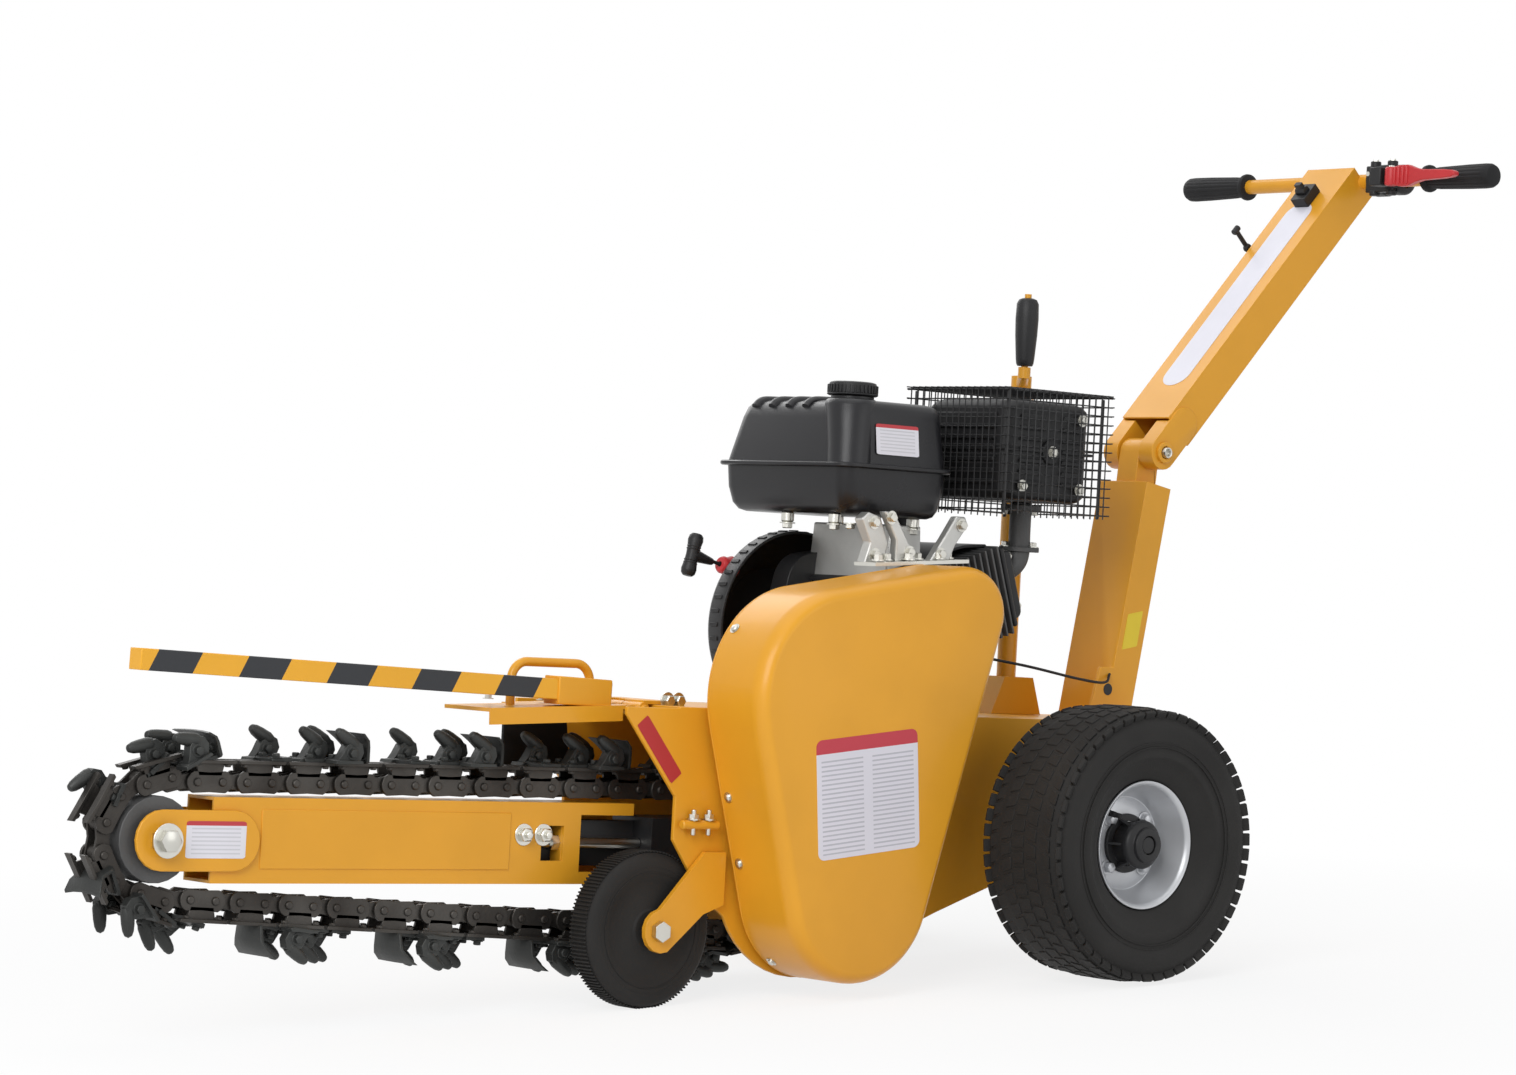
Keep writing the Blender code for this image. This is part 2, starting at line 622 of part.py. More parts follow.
def belt_cover():
    """A deep pressed shell over the drive, and the plate that closes its back."""
    inner = plate(cover_outline(COVER_WALL), (COVER_FACE + COVER_WALL, COVER_BACK + 5))
    shell = plate(cover_outline(), (COVER_FACE, COVER_BACK - 3 - GAP))
    piece("belt_cover", [shell], PAINT, body, cuts=[inner])
    cuts = [rod(at(shaft), SHAFT_RADIUS + 3, (-150, -100)) for shaft in (CRANKSHAFT, JACKSHAFT)]
    cuts.append(rod(at(HEAD), HEADSHAFT_RADIUS + 3, (-150, -100)))
    back = [plate(cover_outline(), (COVER_BACK - 3, COVER_BACK))]
    back.append(rod(at(TENSION_PIVOT), 8 - RUN, (-178, COVER_BACK - 1), steps=16))
    piece("cover_back_plate", back, BLACK_PAINT, body, cuts=cuts)


def engine():
    """A slanted single-cylinder engine with its shroud, tank, muffler in a cage, and air cleaner."""
    base = DECK_TOP + GAP
    shapes = [
        strut(CYLINDER_FOOT, CYLINDER_HEAD, CYLINDER_DEEP, CYLINDER_Y),
        box((-318, -160), (-80, 100), (base, 332)),
        box((-332, -140), (-76, 86), (base, base + 14)),
        box((-240, -160), (-60, 120), (325, 428)),
    ]
    bore = rod(at(CRANKSHAFT), SHAFT_RADIUS + RUN, (-100, -40))
    piece("engine_block", shapes, CAST, body, cuts=[bore])
    shroud = turned(
        [
            (SHROUD_RADIUS, SHROUD_BACK),
            (SHROUD_RADIUS, 160),
            (104, 176),
            (96, SHROUD_FACE),
            (0, SHROUD_FACE),
            (0, SHROUD_FACE - 4),
            (92, SHROUD_FACE - 4),
            (100, 173),
            (SHROUD_RADIUS - 4, 157),
            (SHROUD_RADIUS - 4, SHROUD_BACK),
        ],
        at(CRANKSHAFT),
        steps=28,
    )
    piece("fan_shroud", [shroud], BLACK_PAINT, body)
    pull = [bar((-356, RECOIL_Y, 355), (-392, RECOIL_Y, 363), 7, 12)]
    pull.append(bar((-402, RECOIL_Y, 334), (-388, RECOIL_Y, 394), 11, 14))
    piece("recoil_handle", pull, PLASTIC, body, (-394, RECOIL_Y, 364))

    tank = [(TANK_X[0] + 8, TANK_Z[0]), (TANK_X[1] - 6, TANK_Z[0])]
    seam = TANK_Z[0] + 66
    tank += [(TANK_X[1], seam), (TANK_X[1] - 10, TANK_Z[1]), (TANK_X[0] + 24, TANK_Z[1]), (TANK_X[0], seam)]
    flange = box((TANK_X[0] - 8, TANK_X[1] + 6), (TANK_Y[0] - 8, TANK_Y[1] + 8), (seam - 2, seam + 4))
    neck = rod((*CAP_PLACE, 0), CAP_RADIUS - 6, (TANK_Z[1] - 20, TANK_Z[1] + 5), "Z")
    piece("fuel_tank", [plate(tank, TANK_Y), flange, neck], PLASTIC, body)
    top = TANK_Z[1] + 5 + GAP
    cap = [(0, top), (CAP_RADIUS, top), (CAP_RADIUS, top + 16), (CAP_RADIUS - 6, top + 20), (0, top + 20)]
    piece("fuel_cap", [turned(cap, (*CAP_PLACE, 0), "Z")], PLASTIC, body, (*CAP_PLACE, top))

    can = [(low + CAGE_AIR, high - CAGE_AIR) for low, high in (CAGE_X, CAGE_Y, CAGE_Z)]
    can_inside = [(low + 2, high - 2) for low, high in can]
    outlet = rod((*EXHAUST, 0), 12, (can[2][0] - 5, can[2][0] + 9), "Z", 16)
    piece("muffler", [box(*can)], BLACK_PAINT, body, cuts=[box(*can_inside), outlet])
    outer = box(CAGE_X, CAGE_Y, CAGE_Z)
    inside = [(low + 3, high - 3) for low, high in (CAGE_X, CAGE_Y, CAGE_Z)]
    hollow = box(inside[0], inside[1], (CAGE_Z[0] - 9, inside[2][1]))
    piece("muffler_cage", [outer], BLACK_PAINT, body, cuts=[hollow])
    low = can[2][0] - GAP
    pipe = [bar((*EXHAUST, low), (*EXHAUST, 372), EXHAUST_RADIUS, 16)]
    pipe.append(bar((*EXHAUST, 376), (0, -30, 352), EXHAUST_RADIUS - 2, 16))
    reach = (CYLINDER_HEAD[0] + 1, CYLINDER_HEAD[1] + 0.3)
    wide = (CYLINDER_Y[0] - 1, CYLINDER_Y[1] + 1)
    cut = strut(CYLINDER_FOOT, reach, CYLINDER_DEEP + 1, wide)
    piece("exhaust_pipe", pipe, BLACK_PAINT, body, cuts=[cut])
    canister = [(0, 100), (62, 100), (66, 112), (66, 170), (58, 182), (0, 182)]
    cleaner = turned(canister, (-60, 0, 500), steps=28)
    stem = box((-80, -40), (105, 140), (372, 450))
    elbow = box((-80, -40), (60, 135), (360, 392))
    cut = strut(CYLINDER_FOOT, reach, CYLINDER_DEEP + 1, wide)
    piece("air_cleaner", [cleaner, stem, elbow], PLASTIC, body, cuts=[cut])


def depth_lift():
    """The screw column, its crank, and the nut and linkage that swing the boom."""
    foot = [(88, DECK_TOP + GAP), (186, DECK_TOP + GAP), (168, 214), (112, 214)]
    spot = (SCREW_X, SCREW_Y, 0)
    small, big = COLUMN_RADIUS - 5, COLUMN_RADIUS
    tube_bore = SCREW_RADIUS + RUN
    column = [(tube_bore, 166), (small, 166), (small, 400), (big, 404), (big, COLUMN_TOP)]
    column.append((tube_bore, COLUMN_TOP))
    bracket = plate(foot, (SCREW_Y - 28, SCREW_Y + 28))
    bore = rod(spot, tube_bore, (100, 700), "Z")
    piece("screw_column", [turned(column, spot, "Z"), bracket], PAINT, body, cuts=[bore])
    hand = (SCREW_X - 38.6, SCREW_Y - 46)
    arm_z = COLUMN_TOP + GAP
    crank = [
        bar((*spot[:2], arm_z + 9), (*hand, arm_z + 26), 8.6, 12),
        rod(spot, 15, (arm_z, arm_z + 24), "Z", 16),
        rod(spot, SCREW_RADIUS, (-24, arm_z + 12), "Z", 16),
        rod((*hand, 0), 5, (arm_z + 20, arm_z + 140), "Z", 12),
        rod((*hand, 0), 9, (arm_z + 18, arm_z + 34), "Z", 12),
    ]
    piece("crank_arm", crank, PAINT, body, spot)
    low = arm_z + 36
    grip = [(5 + RUN, low), (12, low), (17, low + 30), (15, low + 92), (11, low + 98), (5 + RUN, low + 98)]
    piece("crank_grip", [turned(grip, (*hand, 0), "Z", 20)], PLASTIC, body, (*hand, low))

    offset = SCREW_X - CRANK_PIVOT[0]
    half_drop = BOOM_DROP / 2
    rise = offset * math.tan(math.radians(half_drop))
    pin_z = CRANK_PIVOT[1] - rise
    lever_y = (LEVER_Y, LEVER_Y + LEVER_PLATE)
    block = box((SCREW_X - 14, SCREW_X + 14), (lever_y[1] + 4, SCREW_Y + 14), (pin_z - 18, pin_z + 18))
    pin = rod((SCREW_X, 0, pin_z), LINK_PIN_RADIUS, (lever_y[0] - 3, lever_y[1] + 6), steps=16)
    thread = rod(spot, SCREW_RADIUS + GAP, (-60, 100), "Z", 16)
    piece("lift_nut", [block, pin], ZINC, body, (SCREW_X, SCREW_Y, pin_z), [thread])

    rod_pin = polar(CRANK_PIVOT, LIFT_ARM, LIFT_LEAN)
    slot_near = polar(CRANK_PIVOT, offset - 1, -half_drop)
    slot_far = polar(CRANK_PIVOT, offset / math.cos(math.radians(half_drop)) + 1, -half_drop)
    shapes = [
        plate(hull([(*CRANK_PIVOT, 18), (*rod_pin, 14)]), lever_y),
        plate(hull([(*CRANK_PIVOT, 18), (*slot_far, 17)]), lever_y),
        rod(at(rod_pin), LINK_PIN_RADIUS, (lever_y[1] - 1, lever_y[1] + 12), steps=16),
    ]
    slot = plate(hull([(*slot_near, LINK_PIN_RADIUS + 2), (*slot_far, LINK_PIN_RADIUS + 2)], 16), (0, 100))
    cuts = [slot, rod(at(CRANK_PIVOT), 8 + RUN, (0, 100))]
    piece("bell_crank", shapes, ZINC, body, at(CRANK_PIVOT), cuts)
    lever_pin = polar(HEAD, LIFT_ARM, LIFT_LEAN)
    link_y = (lever_y[1] + 2, lever_y[1] + 10)
    holes = [rod(at(p), LINK_PIN_RADIUS + RUN + 0.4, (60, 100), steps=16) for p in (lever_pin, rod_pin)]
    link = plate(hull([(*lever_pin, 12), (*rod_pin, 12)], 20), link_y)
    piece("link_rod", [link], ZINC, body, at(rod_pin), holes)


def mast_and_handle():
    """The leaning mast, its fold joint, and the handle beam with its cross bar and controls."""
    half = MAST_WIDE / 2
    outer = strut(MAST_FOOT, MAST_TOP, MAST_DEEP, (-half, half))
    rise = Vector(MAST_TOP) - Vector(MAST_FOOT)
    inner_end = Vector(MAST_TOP) - rise.normalized() * 40
    inner = strut(Vector(MAST_FOOT) - rise * 0.1, inner_end, MAST_DEEP - 6, (3 - half, half - 3))
    level = box((100, 300), (-100, 100), (60, DECK_TOP + GAP))
    x, z = MAST_TOP
    neck = hull([(*FOLD, 21), (x + 2, z + 4, 20), (x - 3, z - 20, 20)])
    foot = DECK_TOP + GAP
    gusset = plate([(176, foot), (232, foot), (236, 236), (196, 236)], (-half, 6 - half))
    shapes = [outer, gusset, plate(neck, (-20, 20))]
    piece("mast", shapes, PAINT, body, cuts=[inner, level, rod(at(FOLD), FOLD_PIN_RADIUS + GAP, (-60, 60))])
    pin = [rod(at(FOLD), FOLD_PIN_RADIUS, (-58, 58)), rod(at(FOLD), 13, (-62, -50 - GAP), steps=6)]
    piece("fold_pin", pin, ZINC, body)

    run = (Vector(BEAM_END) - Vector(FOLD)).normalized()
    start = Vector(FOLD) + run * 44
    end = Vector(BEAM_END)
    wide = BEAM_WIDE / 2
    shapes = [strut(start, end, BEAM_DEEP, (-wide, wide))]
    ear_end = Vector(FOLD) + run * 60
    for y in ((-50, -22), (22, 50)):
        shapes.append(plate(hull([(*FOLD, 25), (*ear_end, 25)]), y))
    hollow = strut(start - run * 2, end - run * 40, BEAM_DEEP - 6, (3 - wide, wide - 3))
    shapes.append(rod(at(BEAM_END), BAR_RADIUS, (BAR_NEAR + 4, BAR_FAR - 4)))
    eye = rod(at(FOLD), FOLD_PIN_RADIUS + RUN, (-70, 70))
    piece("handle_beam", shapes, PAINT, body, at(FOLD), [hollow, eye])
    bore = BAR_RADIUS + GAP
    for name, tip, sign in (("near", BAR_NEAR, 1), ("far", BAR_FAR, -1)):
        r = GRIP_RADIUS
        shape = [(bore, 6), (r - 3, 0), (r, 8), (r, 60), (r - 3, GRIP_LENGTH - 12), (r + 2, GRIP_LENGTH - 6)]
        shape += [(r + 2, GRIP_LENGTH), (bore, GRIP_LENGTH)]
        profile = [(radius, tip + sign * y) for radius, y in shape]
        piece(f"hand_grip_{name}", [turned(profile, at(BEAM_END))], RUBBER, body, at(FOLD))
    x, z = BEAM_END
    profile = [(bore, -136), (24, -136), (26, -120), (26, -76), (22, -66), (bore, -66)]
    clamp = [turned(profile, at(BEAM_END))]
    clamp.append(box((x - 58, x - 15), (-134, -112), (z - 14, z + 14)))
    piece("control_clamp", clamp, PLASTIC, body, at(FOLD))
    hinge = (x - 46, -146, z)
    lever = [box((hinge[0] - 6, hinge[0] + 6), (-286, -150), (z - 10, z + 10))]
    lever.append(rod((hinge[0], hinge[1], 0), 9, (z - 13, z + 13), "Z", 16))
    piece("drive_lever", lever, RED_PLASTIC, body, hinge)
    throttle = Vector(FOLD) + run * THROTTLE_ALONG
    pivot = (throttle.x, wide + 12, throttle.y)
    up = Vector((-run.y, run.x))
    tip = throttle + up * 62
    lever = [plate(hull([(throttle.x, throttle.y, 10), (tip.x, tip.y, 5)]), (wide + 8, wide + 14))]
    lever.append(rod((pivot[0], 0, pivot[2]), 7, (wide + GAP, wide + 16), steps=16))
    piece("throttle_lever", lever, PLASTIC, body, pivot)
    spot = Vector(FOLD) + run * SWITCH_ALONG + up * (BEAM_DEEP / 2 + GAP)
    base = strut(spot + up * 8 - run * 18, spot + up * 8 + run * 18, 16, (-14, 14))
    pivot = at(spot + up * 18)
    seat = rod(pivot, 7, (-10, 10), steps=16)
    piece("switch_box", [base], PLASTIC, body, at(FOLD), [seat])
    knob = [rod(pivot, 7 - GAP, (-9, 9), steps=16), strut(spot + up * 20, spot + up * 32, 7, (-6, 6))]
    piece("stop_switch", knob, BLACK_PAINT, body, pivot)


def guard():
    """The hinged guard over the chain: plate with a lip, striped bar, lifting loop and rubber flap."""
    front, rear = (-905, 146), (GUARD_HINGE[0] - 12, GUARD_HINGE[1] + 2)
    shapes = [strut(front, rear, 5, GUARD_Y)]
    lip = (GUARD_Y[0], GUARD_Y[0] + 4)
    shapes.append(strut((front[0], front[1] - 9), (rear[0] - 20, rear[1] - 9), 20, lip))
    shapes.append(rod(at(GUARD_HINGE), 9, (-26, 16), steps=16))
    shapes.append(box((rear[0] - 6, GUARD_HINGE[0]), (-25, 15), (GUARD_HINGE[1] - 2, GUARD_HINGE[1] + 5)))
    wing = (Vector(rear) - Vector(front)) * 0.5 + Vector(front)
    shapes.append(strut(wing, (rear[0] - 16, rear[1] - 0.7), 4, (GUARD_Y[1] - 2, 74)))
    y = (HAZARD_Y - HAZARD_SIDE / 2, HAZARD_Y + HAZARD_SIDE / 2)
    start, end = (HAZARD_FRONT[0], HAZARD_FRONT[1] + 2), (HAZARD_REAR[0], HAZARD_REAR[1] + 5)
    inside = (y[0] + 2.5, y[1] - 2.5)
    hollow = strut((start[0] + 4, start[1]), (end[0] + 30, end[1] - 1), HAZARD_SIDE - 5, inside)
    bar_tube = strut(start, end, HAZARD_SIDE, y)
    piece("hazard_bar", [bar_tube], (HAZARD, 0.35, 0.0), body, at(GUARD_HINGE), [hollow])
    high = LOOP_TOP - LOOP_TUBE
    first, last = LOOP_X
    loop = [
        bar((first, LOOP_Y, 151), (first, LOOP_Y, high), LOOP_TUBE, 12),
        bar((last, LOOP_Y, 154), (last, LOOP_Y, high), LOOP_TUBE, 12),
        bar((first - 2, LOOP_Y, high - 1), (last + 2, LOOP_Y, high - 1), LOOP_TUBE - 0.2, 12),
    ]
    pin_hole = rod(at(GUARD_HINGE), 5 + RUN, (-90, 90), steps=16)
    piece("guard_plate", [*shapes, *loop], PAINT, body, at(GUARD_HINGE), [pin_hole])
    flap = [(wing.x, wing.y - 4), (rear[0] - 16, rear[1] - 4.5), (rear[0] - 4, 64), (wing.x, 60)]
    piece("rubber_flap", [plate(flap, (66, 71))], RUBBER, body, at(GUARD_HINGE))
    top = DECK_TOP + GAP
    bracket = [
        rod(at(GUARD_HINGE), 9, (-66, -27), steps=16),
        rod(at(GUARD_HINGE), 9, (17, 56), steps=16),
        box((GUARD_HINGE[0] - 2, -600), (-66, -27), (top, top + 5)),
        box((GUARD_HINGE[0] - 2, -600), (17, 56), (top, top + 5)),
        box((-636, -600), (-66, 56), (top, top + 5)),
    ]
    bracket.append(rod(at(GUARD_HINGE), 5, (-70, 60), steps=16))
    piece("guard_bracket", bracket, PAINT, body)


def centre_on_origin():
    """Moves the stand so that the whole object's box is centred over the origin."""
    bpy.context.view_layer.update()
    graph = bpy.context.evaluated_depsgraph_get()
    xs = []
    for obj in bpy.context.scene.objects:
        if obj.type != "MESH" or obj.hide_render:
            continue
        solid = obj.evaluated_get(graph)
        xs += [(solid.matrix_world @ Vector(vertex.co)).x for vertex in solid.data.vertices]
    stand.location.x = -(min(xs) + max(xs)) / 2


rear_wheels()
front_wheel()
chassis()
boom()
headshaft()
belt_drive()
belt_cover()
engine()
depth_lift()
mast_and_handle()
guard()
centre_on_origin()
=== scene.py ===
import json
import math
import bmesh
import bpy
from mathutils import Matrix, Vector


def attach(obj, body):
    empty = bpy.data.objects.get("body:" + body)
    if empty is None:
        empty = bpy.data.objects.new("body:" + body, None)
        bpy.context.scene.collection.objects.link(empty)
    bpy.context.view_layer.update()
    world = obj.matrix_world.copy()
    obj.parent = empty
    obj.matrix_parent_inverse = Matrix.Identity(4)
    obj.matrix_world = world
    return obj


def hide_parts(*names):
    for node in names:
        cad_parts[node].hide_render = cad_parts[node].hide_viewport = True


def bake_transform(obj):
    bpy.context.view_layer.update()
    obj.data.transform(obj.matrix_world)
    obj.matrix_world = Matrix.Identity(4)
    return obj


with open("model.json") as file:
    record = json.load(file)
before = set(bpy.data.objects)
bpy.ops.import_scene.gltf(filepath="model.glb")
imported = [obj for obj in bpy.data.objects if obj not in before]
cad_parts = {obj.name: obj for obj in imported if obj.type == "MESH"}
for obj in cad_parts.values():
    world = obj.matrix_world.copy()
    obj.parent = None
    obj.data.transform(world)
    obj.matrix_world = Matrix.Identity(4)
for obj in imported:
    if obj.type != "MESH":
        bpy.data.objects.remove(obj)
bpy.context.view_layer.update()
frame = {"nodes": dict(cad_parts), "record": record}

joints = {joint["name"]: joint for joint in frame["record"]["behaviour"]["joints"]}
bodyOf = {}
for bodyName, nodeNames in frame["record"]["behaviour"]["bodies"].items():
    for nodeName in nodeNames:
        bodyOf[nodeName] = bodyName

# The machine is laid out level in millimetres from the rear axle, then tipped as it stands.
upward = joints["crank_spin"]["axis"]
restPitch = math.atan2(upward[0], upward[2])
axle = Vector(joints["rear_wheel_near_spin"]["pos_m"])
axle.y = 0
level = Matrix.Translation(axle) @ Matrix.Rotation(restPitch, 4, "Y") @ Matrix.Scale(0.001, 4)
unlevel = level.inverted()


def levelPlace(jointName):
    return unlevel @ Vector(joints[jointName]["pos_m"])


def levelBox(node):  # the node's box in the level layout, from its own points
    points = [unlevel @ vertex.co for vertex in frame["nodes"][node].data.vertices]
    low = Vector([min(p[i] for p in points) for i in range(3)])
    high = Vector([max(p[i] for p in points) for i in range(3)])
    return low, high


# ---- shader nodes
def setInputs(tree, node, inputs):  # a value for each input, or a link from another node
    for name, value in inputs.items():
        if isinstance(value, bpy.types.NodeSocket):
            tree.links.new(value, node.inputs[name])
        else:
            node.inputs[name].default_value = value


def addNode(tree, kind, inputs=None, **settings):
    node = tree.nodes.new("ShaderNode" + kind)
    for name, value in settings.items():
        setattr(node, name, value)
    setInputs(tree, node, inputs or {})
    return node


def maths(tree, kind, *values):
    return addNode(tree, "Math", dict(enumerate(values)), operation=kind).outputs[0]


# ---- stage, camera and light
camera = {"yaw": 40.0, "dip": 1.77, "lens": 108.8, "place": (-4.059, -4.789, 0.803)}
studio = {
    "worldLit": 0.34,
    "floorSize": 30,
    "lookAt": (0, 0, 0.4),
    "lamps": (  # name, place, size and power
        ("keyLamp", (-4.6, -2.7, 3.4), 3.4, 215),
        ("fillLamp", (1.6, -5.2, 2.0), 3.6, 36),
        ("backLamp", (1.0, 4.6, 3.6), 3.2, 80),
        ("topLamp", (0, 0, 5.2), 4.5, 65),
    ),
}


def addObject(name, data):
    made = bpy.data.objects.new(name, data)
    bpy.context.scene.collection.objects.link(made)
    return made


def makeCamera():
    data = bpy.data.cameras.new("camera")
    data.lens = camera["lens"]
    data.sensor_width = 36
    data.clip_end = 100
    made = addObject("camera", data)
    made.location = camera["place"]
    made.rotation_euler = (math.radians(90 - camera["dip"]), 0, math.radians(-camera["yaw"]))
    bpy.context.scene.camera = made


def makeStage():
    bm = bmesh.new()
    bmesh.ops.create_circle(bm, cap_ends=True, radius=studio["floorSize"], segments=96)
    mesh = bpy.data.meshes.new("floor")
    bm.to_mesh(mesh)
    floor = addObject("floor", mesh)
    floor.data.materials.append(floorFinish())
    for name, spot, size, power in studio["lamps"]:
        light = bpy.data.lights.new(name, "AREA")
        light.size = size
        light.energy = power
        made = addObject(name, light)
        made.location = spot
        made.rotation_euler = (Vector(studio["lookAt"]) - Vector(spot)).to_track_quat("-Z", "Y").to_euler()


def backdropRay(tree):  # rays that see the white room directly, in a reflection or through glass
    rays = addNode(tree, "LightPath")
    total = rays.outputs["Is Camera Ray"]
    for name in ("Is Glossy Ray", "Is Transmission Ray"):
        total = maths(tree, "MAXIMUM", total, rays.outputs[name])
    return total


def makeWorld():
    world = bpy.data.worlds.new("studio")
    bpy.context.scene.world = world
    world.use_nodes = True
    tree = world.node_tree
    tree.nodes.clear()
    seen = addNode(tree, "Background", {"Color": (1, 1, 1, 1), "Strength": 1.0})
    lit = addNode(tree, "Background", {"Color": (0.93, 0.96, 1, 1), "Strength": studio["worldLit"]})
    mix = addNode(tree, "MixShader", {"Fac": backdropRay(tree), 1: lit.outputs[0], 2: seen.outputs[0]})
    addNode(tree, "OutputWorld", {"Surface": mix.outputs[0]})


def floorFinish():  # a soft shadow near the machine, fading to plain white
    made = bpy.data.materials.new("floor")
    made.use_nodes = True
    tree = made.node_tree
    tree.nodes.clear()
    where = addNode(tree, "TexCoord").outputs["Object"]
    reach = addNode(tree, "VectorMath", {0: where}, operation="LENGTH").outputs["Value"]
    fade = addNode(tree, "MapRange", {"Value": reach, "From Min": 0.7, "From Max": 2.0, "To Min": 0.82})
    matt = addNode(tree, "BsdfDiffuse", {"Color": (0.9, 0.9, 0.9, 1)})
    glow = addNode(tree, "Emission", {"Color": (1, 1, 1, 1)})
    share = maths(tree, "MULTIPLY", fade.outputs["Result"], backdropRay(tree))
    mix = addNode(tree, "MixShader", {"Fac": share, 1: matt.outputs[0], 2: glow.outputs[0]})
    addNode(tree, "OutputMaterial", {"Surface": mix.outputs[0]})
    return made


# ---- finishes: cloudy patches of tint and gloss, and a fine grain
def finish(
    name, colour, rough, metal=0.0, patch=0.12, patchScale=9, grain=0.1, grainScale=260, coat=0.0, spec=0.35,
    dust=None
):
    made = bpy.data.materials.new(name)
    made.use_nodes = True
    tree = made.node_tree
    where = addNode(tree, "TexCoord").outputs["Object"]
    cloud = addNode(tree, "TexNoise", {"Vector": where, "Scale": patchScale, "Detail": 4}).outputs["Fac"]
    spread = addNode(tree, "MapRange", {"Value": cloud, "From Min": 0.3, "From Max": 0.62}).outputs["Result"]
    dark = dust or tuple(c * (1 - patch) for c in colour)
    tint = addNode(tree, "Mix", data_type="RGBA")
    setInputs(tree, tint, {"Factor": spread, "A": (*dark, 1), "B": (*colour, 1)})
    gloss = addNode(
        tree, "MapRange", {"Value": cloud, "To Min": min(1, rough + 0.08), "To Max": max(0.02, rough - 0.06)}
    )
    fine = addNode(tree, "TexNoise", {"Vector": where, "Scale": grainScale, "Detail": 3})
    bump = addNode(tree, "Bump", {"Height": fine.outputs["Fac"], "Strength": grain, "Distance": 0.001})
    setInputs(tree, tree.nodes["Principled BSDF"], {
        "Metallic": metal,
        "Specular IOR Level": spec,
        "Coat Weight": coat,
        "Coat Roughness": 0.12,
        "Base Color": tint.outputs["Result"],
        "Roughness": gloss.outputs["Result"],
        "Normal": bump.outputs["Normal"],
    })
    return made


def paintOver(made, layers):  # each layer is a mask and the colour that it lays on the finish
    tree = made.node_tree
    base = tree.nodes["Principled BSDF"].inputs["Base Color"]
    under = base.links[0].from_socket
    for mask, colour in layers:
        mix = addNode(tree, "Mix", data_type="RGBA")
        setInputs(tree, mix, {"Factor": mask, "A": under, "B": (*colour, 1)})
        under = mix.outputs["Result"]
    tree.links.new(under, base)


finishes = {
    "orange": finish("orangeEnamel", (0.76, 0.35, 0.020), 0.38, patch=0.06, grain=0.05, grainScale=420, coat=0.12),
    "black": finish("blackEnamel", (0.018, 0.018, 0.019), 0.42, patch=0.3, grain=0.08, spec=0.3),
    "cage": finish("cageWire", (0.02, 0.02, 0.021), 0.5, patch=0.3, grain=0.05),
    "chain": finish(
        "chainSteel", (0.075, 0.07, 0.064), 0.46, metal=0.75, grain=0.35, grainScale=190, dust=(0.03, 0.026, 0.023)
    ),
    "tooth": finish(
        "toothSteel", (0.05, 0.052, 0.05), 0.5, metal=0.55, grain=0.4, grainScale=150, dust=(0.025, 0.026, 0.025)
    ),
    "zinc": finish("zincPlate", (0.66, 0.65, 0.6), 0.28, metal=1.0, patch=0.2, grain=0.06),
    "cast": finish("castAlloy", (0.56, 0.56, 0.54), 0.48, metal=0.9, patch=0.25, grain=0.45, grainScale=520),
    "iron": finish("castIron", (0.12, 0.12, 0.12), 0.6, metal=0.6, patch=0.3, grain=0.4),
    "rim": finish("rimPaint", (0.55, 0.56, 0.58), 0.36, metal=0.55, patch=0.16, grain=0.05),
    "tyre": finish("tyreRubber", (0.020, 0.019, 0.018), 0.72, patch=0.3, grain=0.3, grainScale=330, spec=0.25),
    "rubber": finish("gripRubber", (0.013, 0.013, 0.014), 0.66, patch=0.25, grain=0.2, grainScale=420, spec=0.25),
    "plastic": finish("blackPlastic", (0.015, 0.015, 0.016), 0.44, patch=0.2, grain=0.3, grainScale=600, spec=0.3),
    "tank": finish("tankPlastic", (0.011, 0.011, 0.013), 0.28, patch=0.2, grain=0.2, grainScale=800, spec=0.35),
    "red": finish("redPlastic", (0.56, 0.035, 0.04), 0.38, patch=0.15, grain=0.15),
    "decal": finish("paleDecal", (0.74, 0.73, 0.80), 0.4, patch=0.05, grain=0.03),
    "redDecal": finish("redDecal", (0.45, 0.03, 0.035), 0.42, patch=0.08, grain=0.03),
    "yellowDecal": finish("yellowDecal", (0.80, 0.60, 0.04), 0.42, patch=0.08, grain=0.03),
}


def hazardFinish(start, along, pitch, dark, slant, last):  # slanted black bands along the bar, up to the last one
    made = finish("hazardStripes", (0.80, 0.39, 0.022), 0.38, patch=0.06, grain=0.05, coat=0.1)
    tree = made.node_tree
    where = addNode(tree, "TexCoord").outputs["Object"]
    shift = addNode(tree, "VectorMath", {0: where, 1: start}, operation="SUBTRACT").outputs["Vector"]
    lean = along - Vector((0, 0, 1)) * slant
    run = addNode(tree, "VectorMath", {0: shift, 1: lean}, operation="DOT_PRODUCT").outputs["Value"]
    band = maths(tree, "LESS_THAN", maths(tree, "MODULO", run, pitch), dark)
    paintOver(made, [(maths(tree, "MULTIPLY", maths(tree, "LESS_THAN", run, last), band), (0.018, 0.02, 0.024))])
    return made


print("stage and finishes ready")


# ---- shapes, in level millimetres
def addBox(bm, x, y, z):
    made = bmesh.ops.create_cube(bm, size=1)["verts"]
    for vertex in made:
        vertex.co = Vector([pair[0] if c < 0 else pair[1] for pair, c in zip((x, y, z), vertex.co)])
    return made


def joinRings(bm, rings):  # quads between neighbouring rings, or a fan to a single point
    for first, second in zip(rings, rings[1:]):
        count = max(len(first), len(second))
        for i in range(count if count > 1 else 0):
            j = (i + 1) % count
            ends = [first[i % len(first)], first[j % len(first)], second[j % len(second)], second[i % len(second)]]
            bm.faces.new(list(dict.fromkeys(ends)))


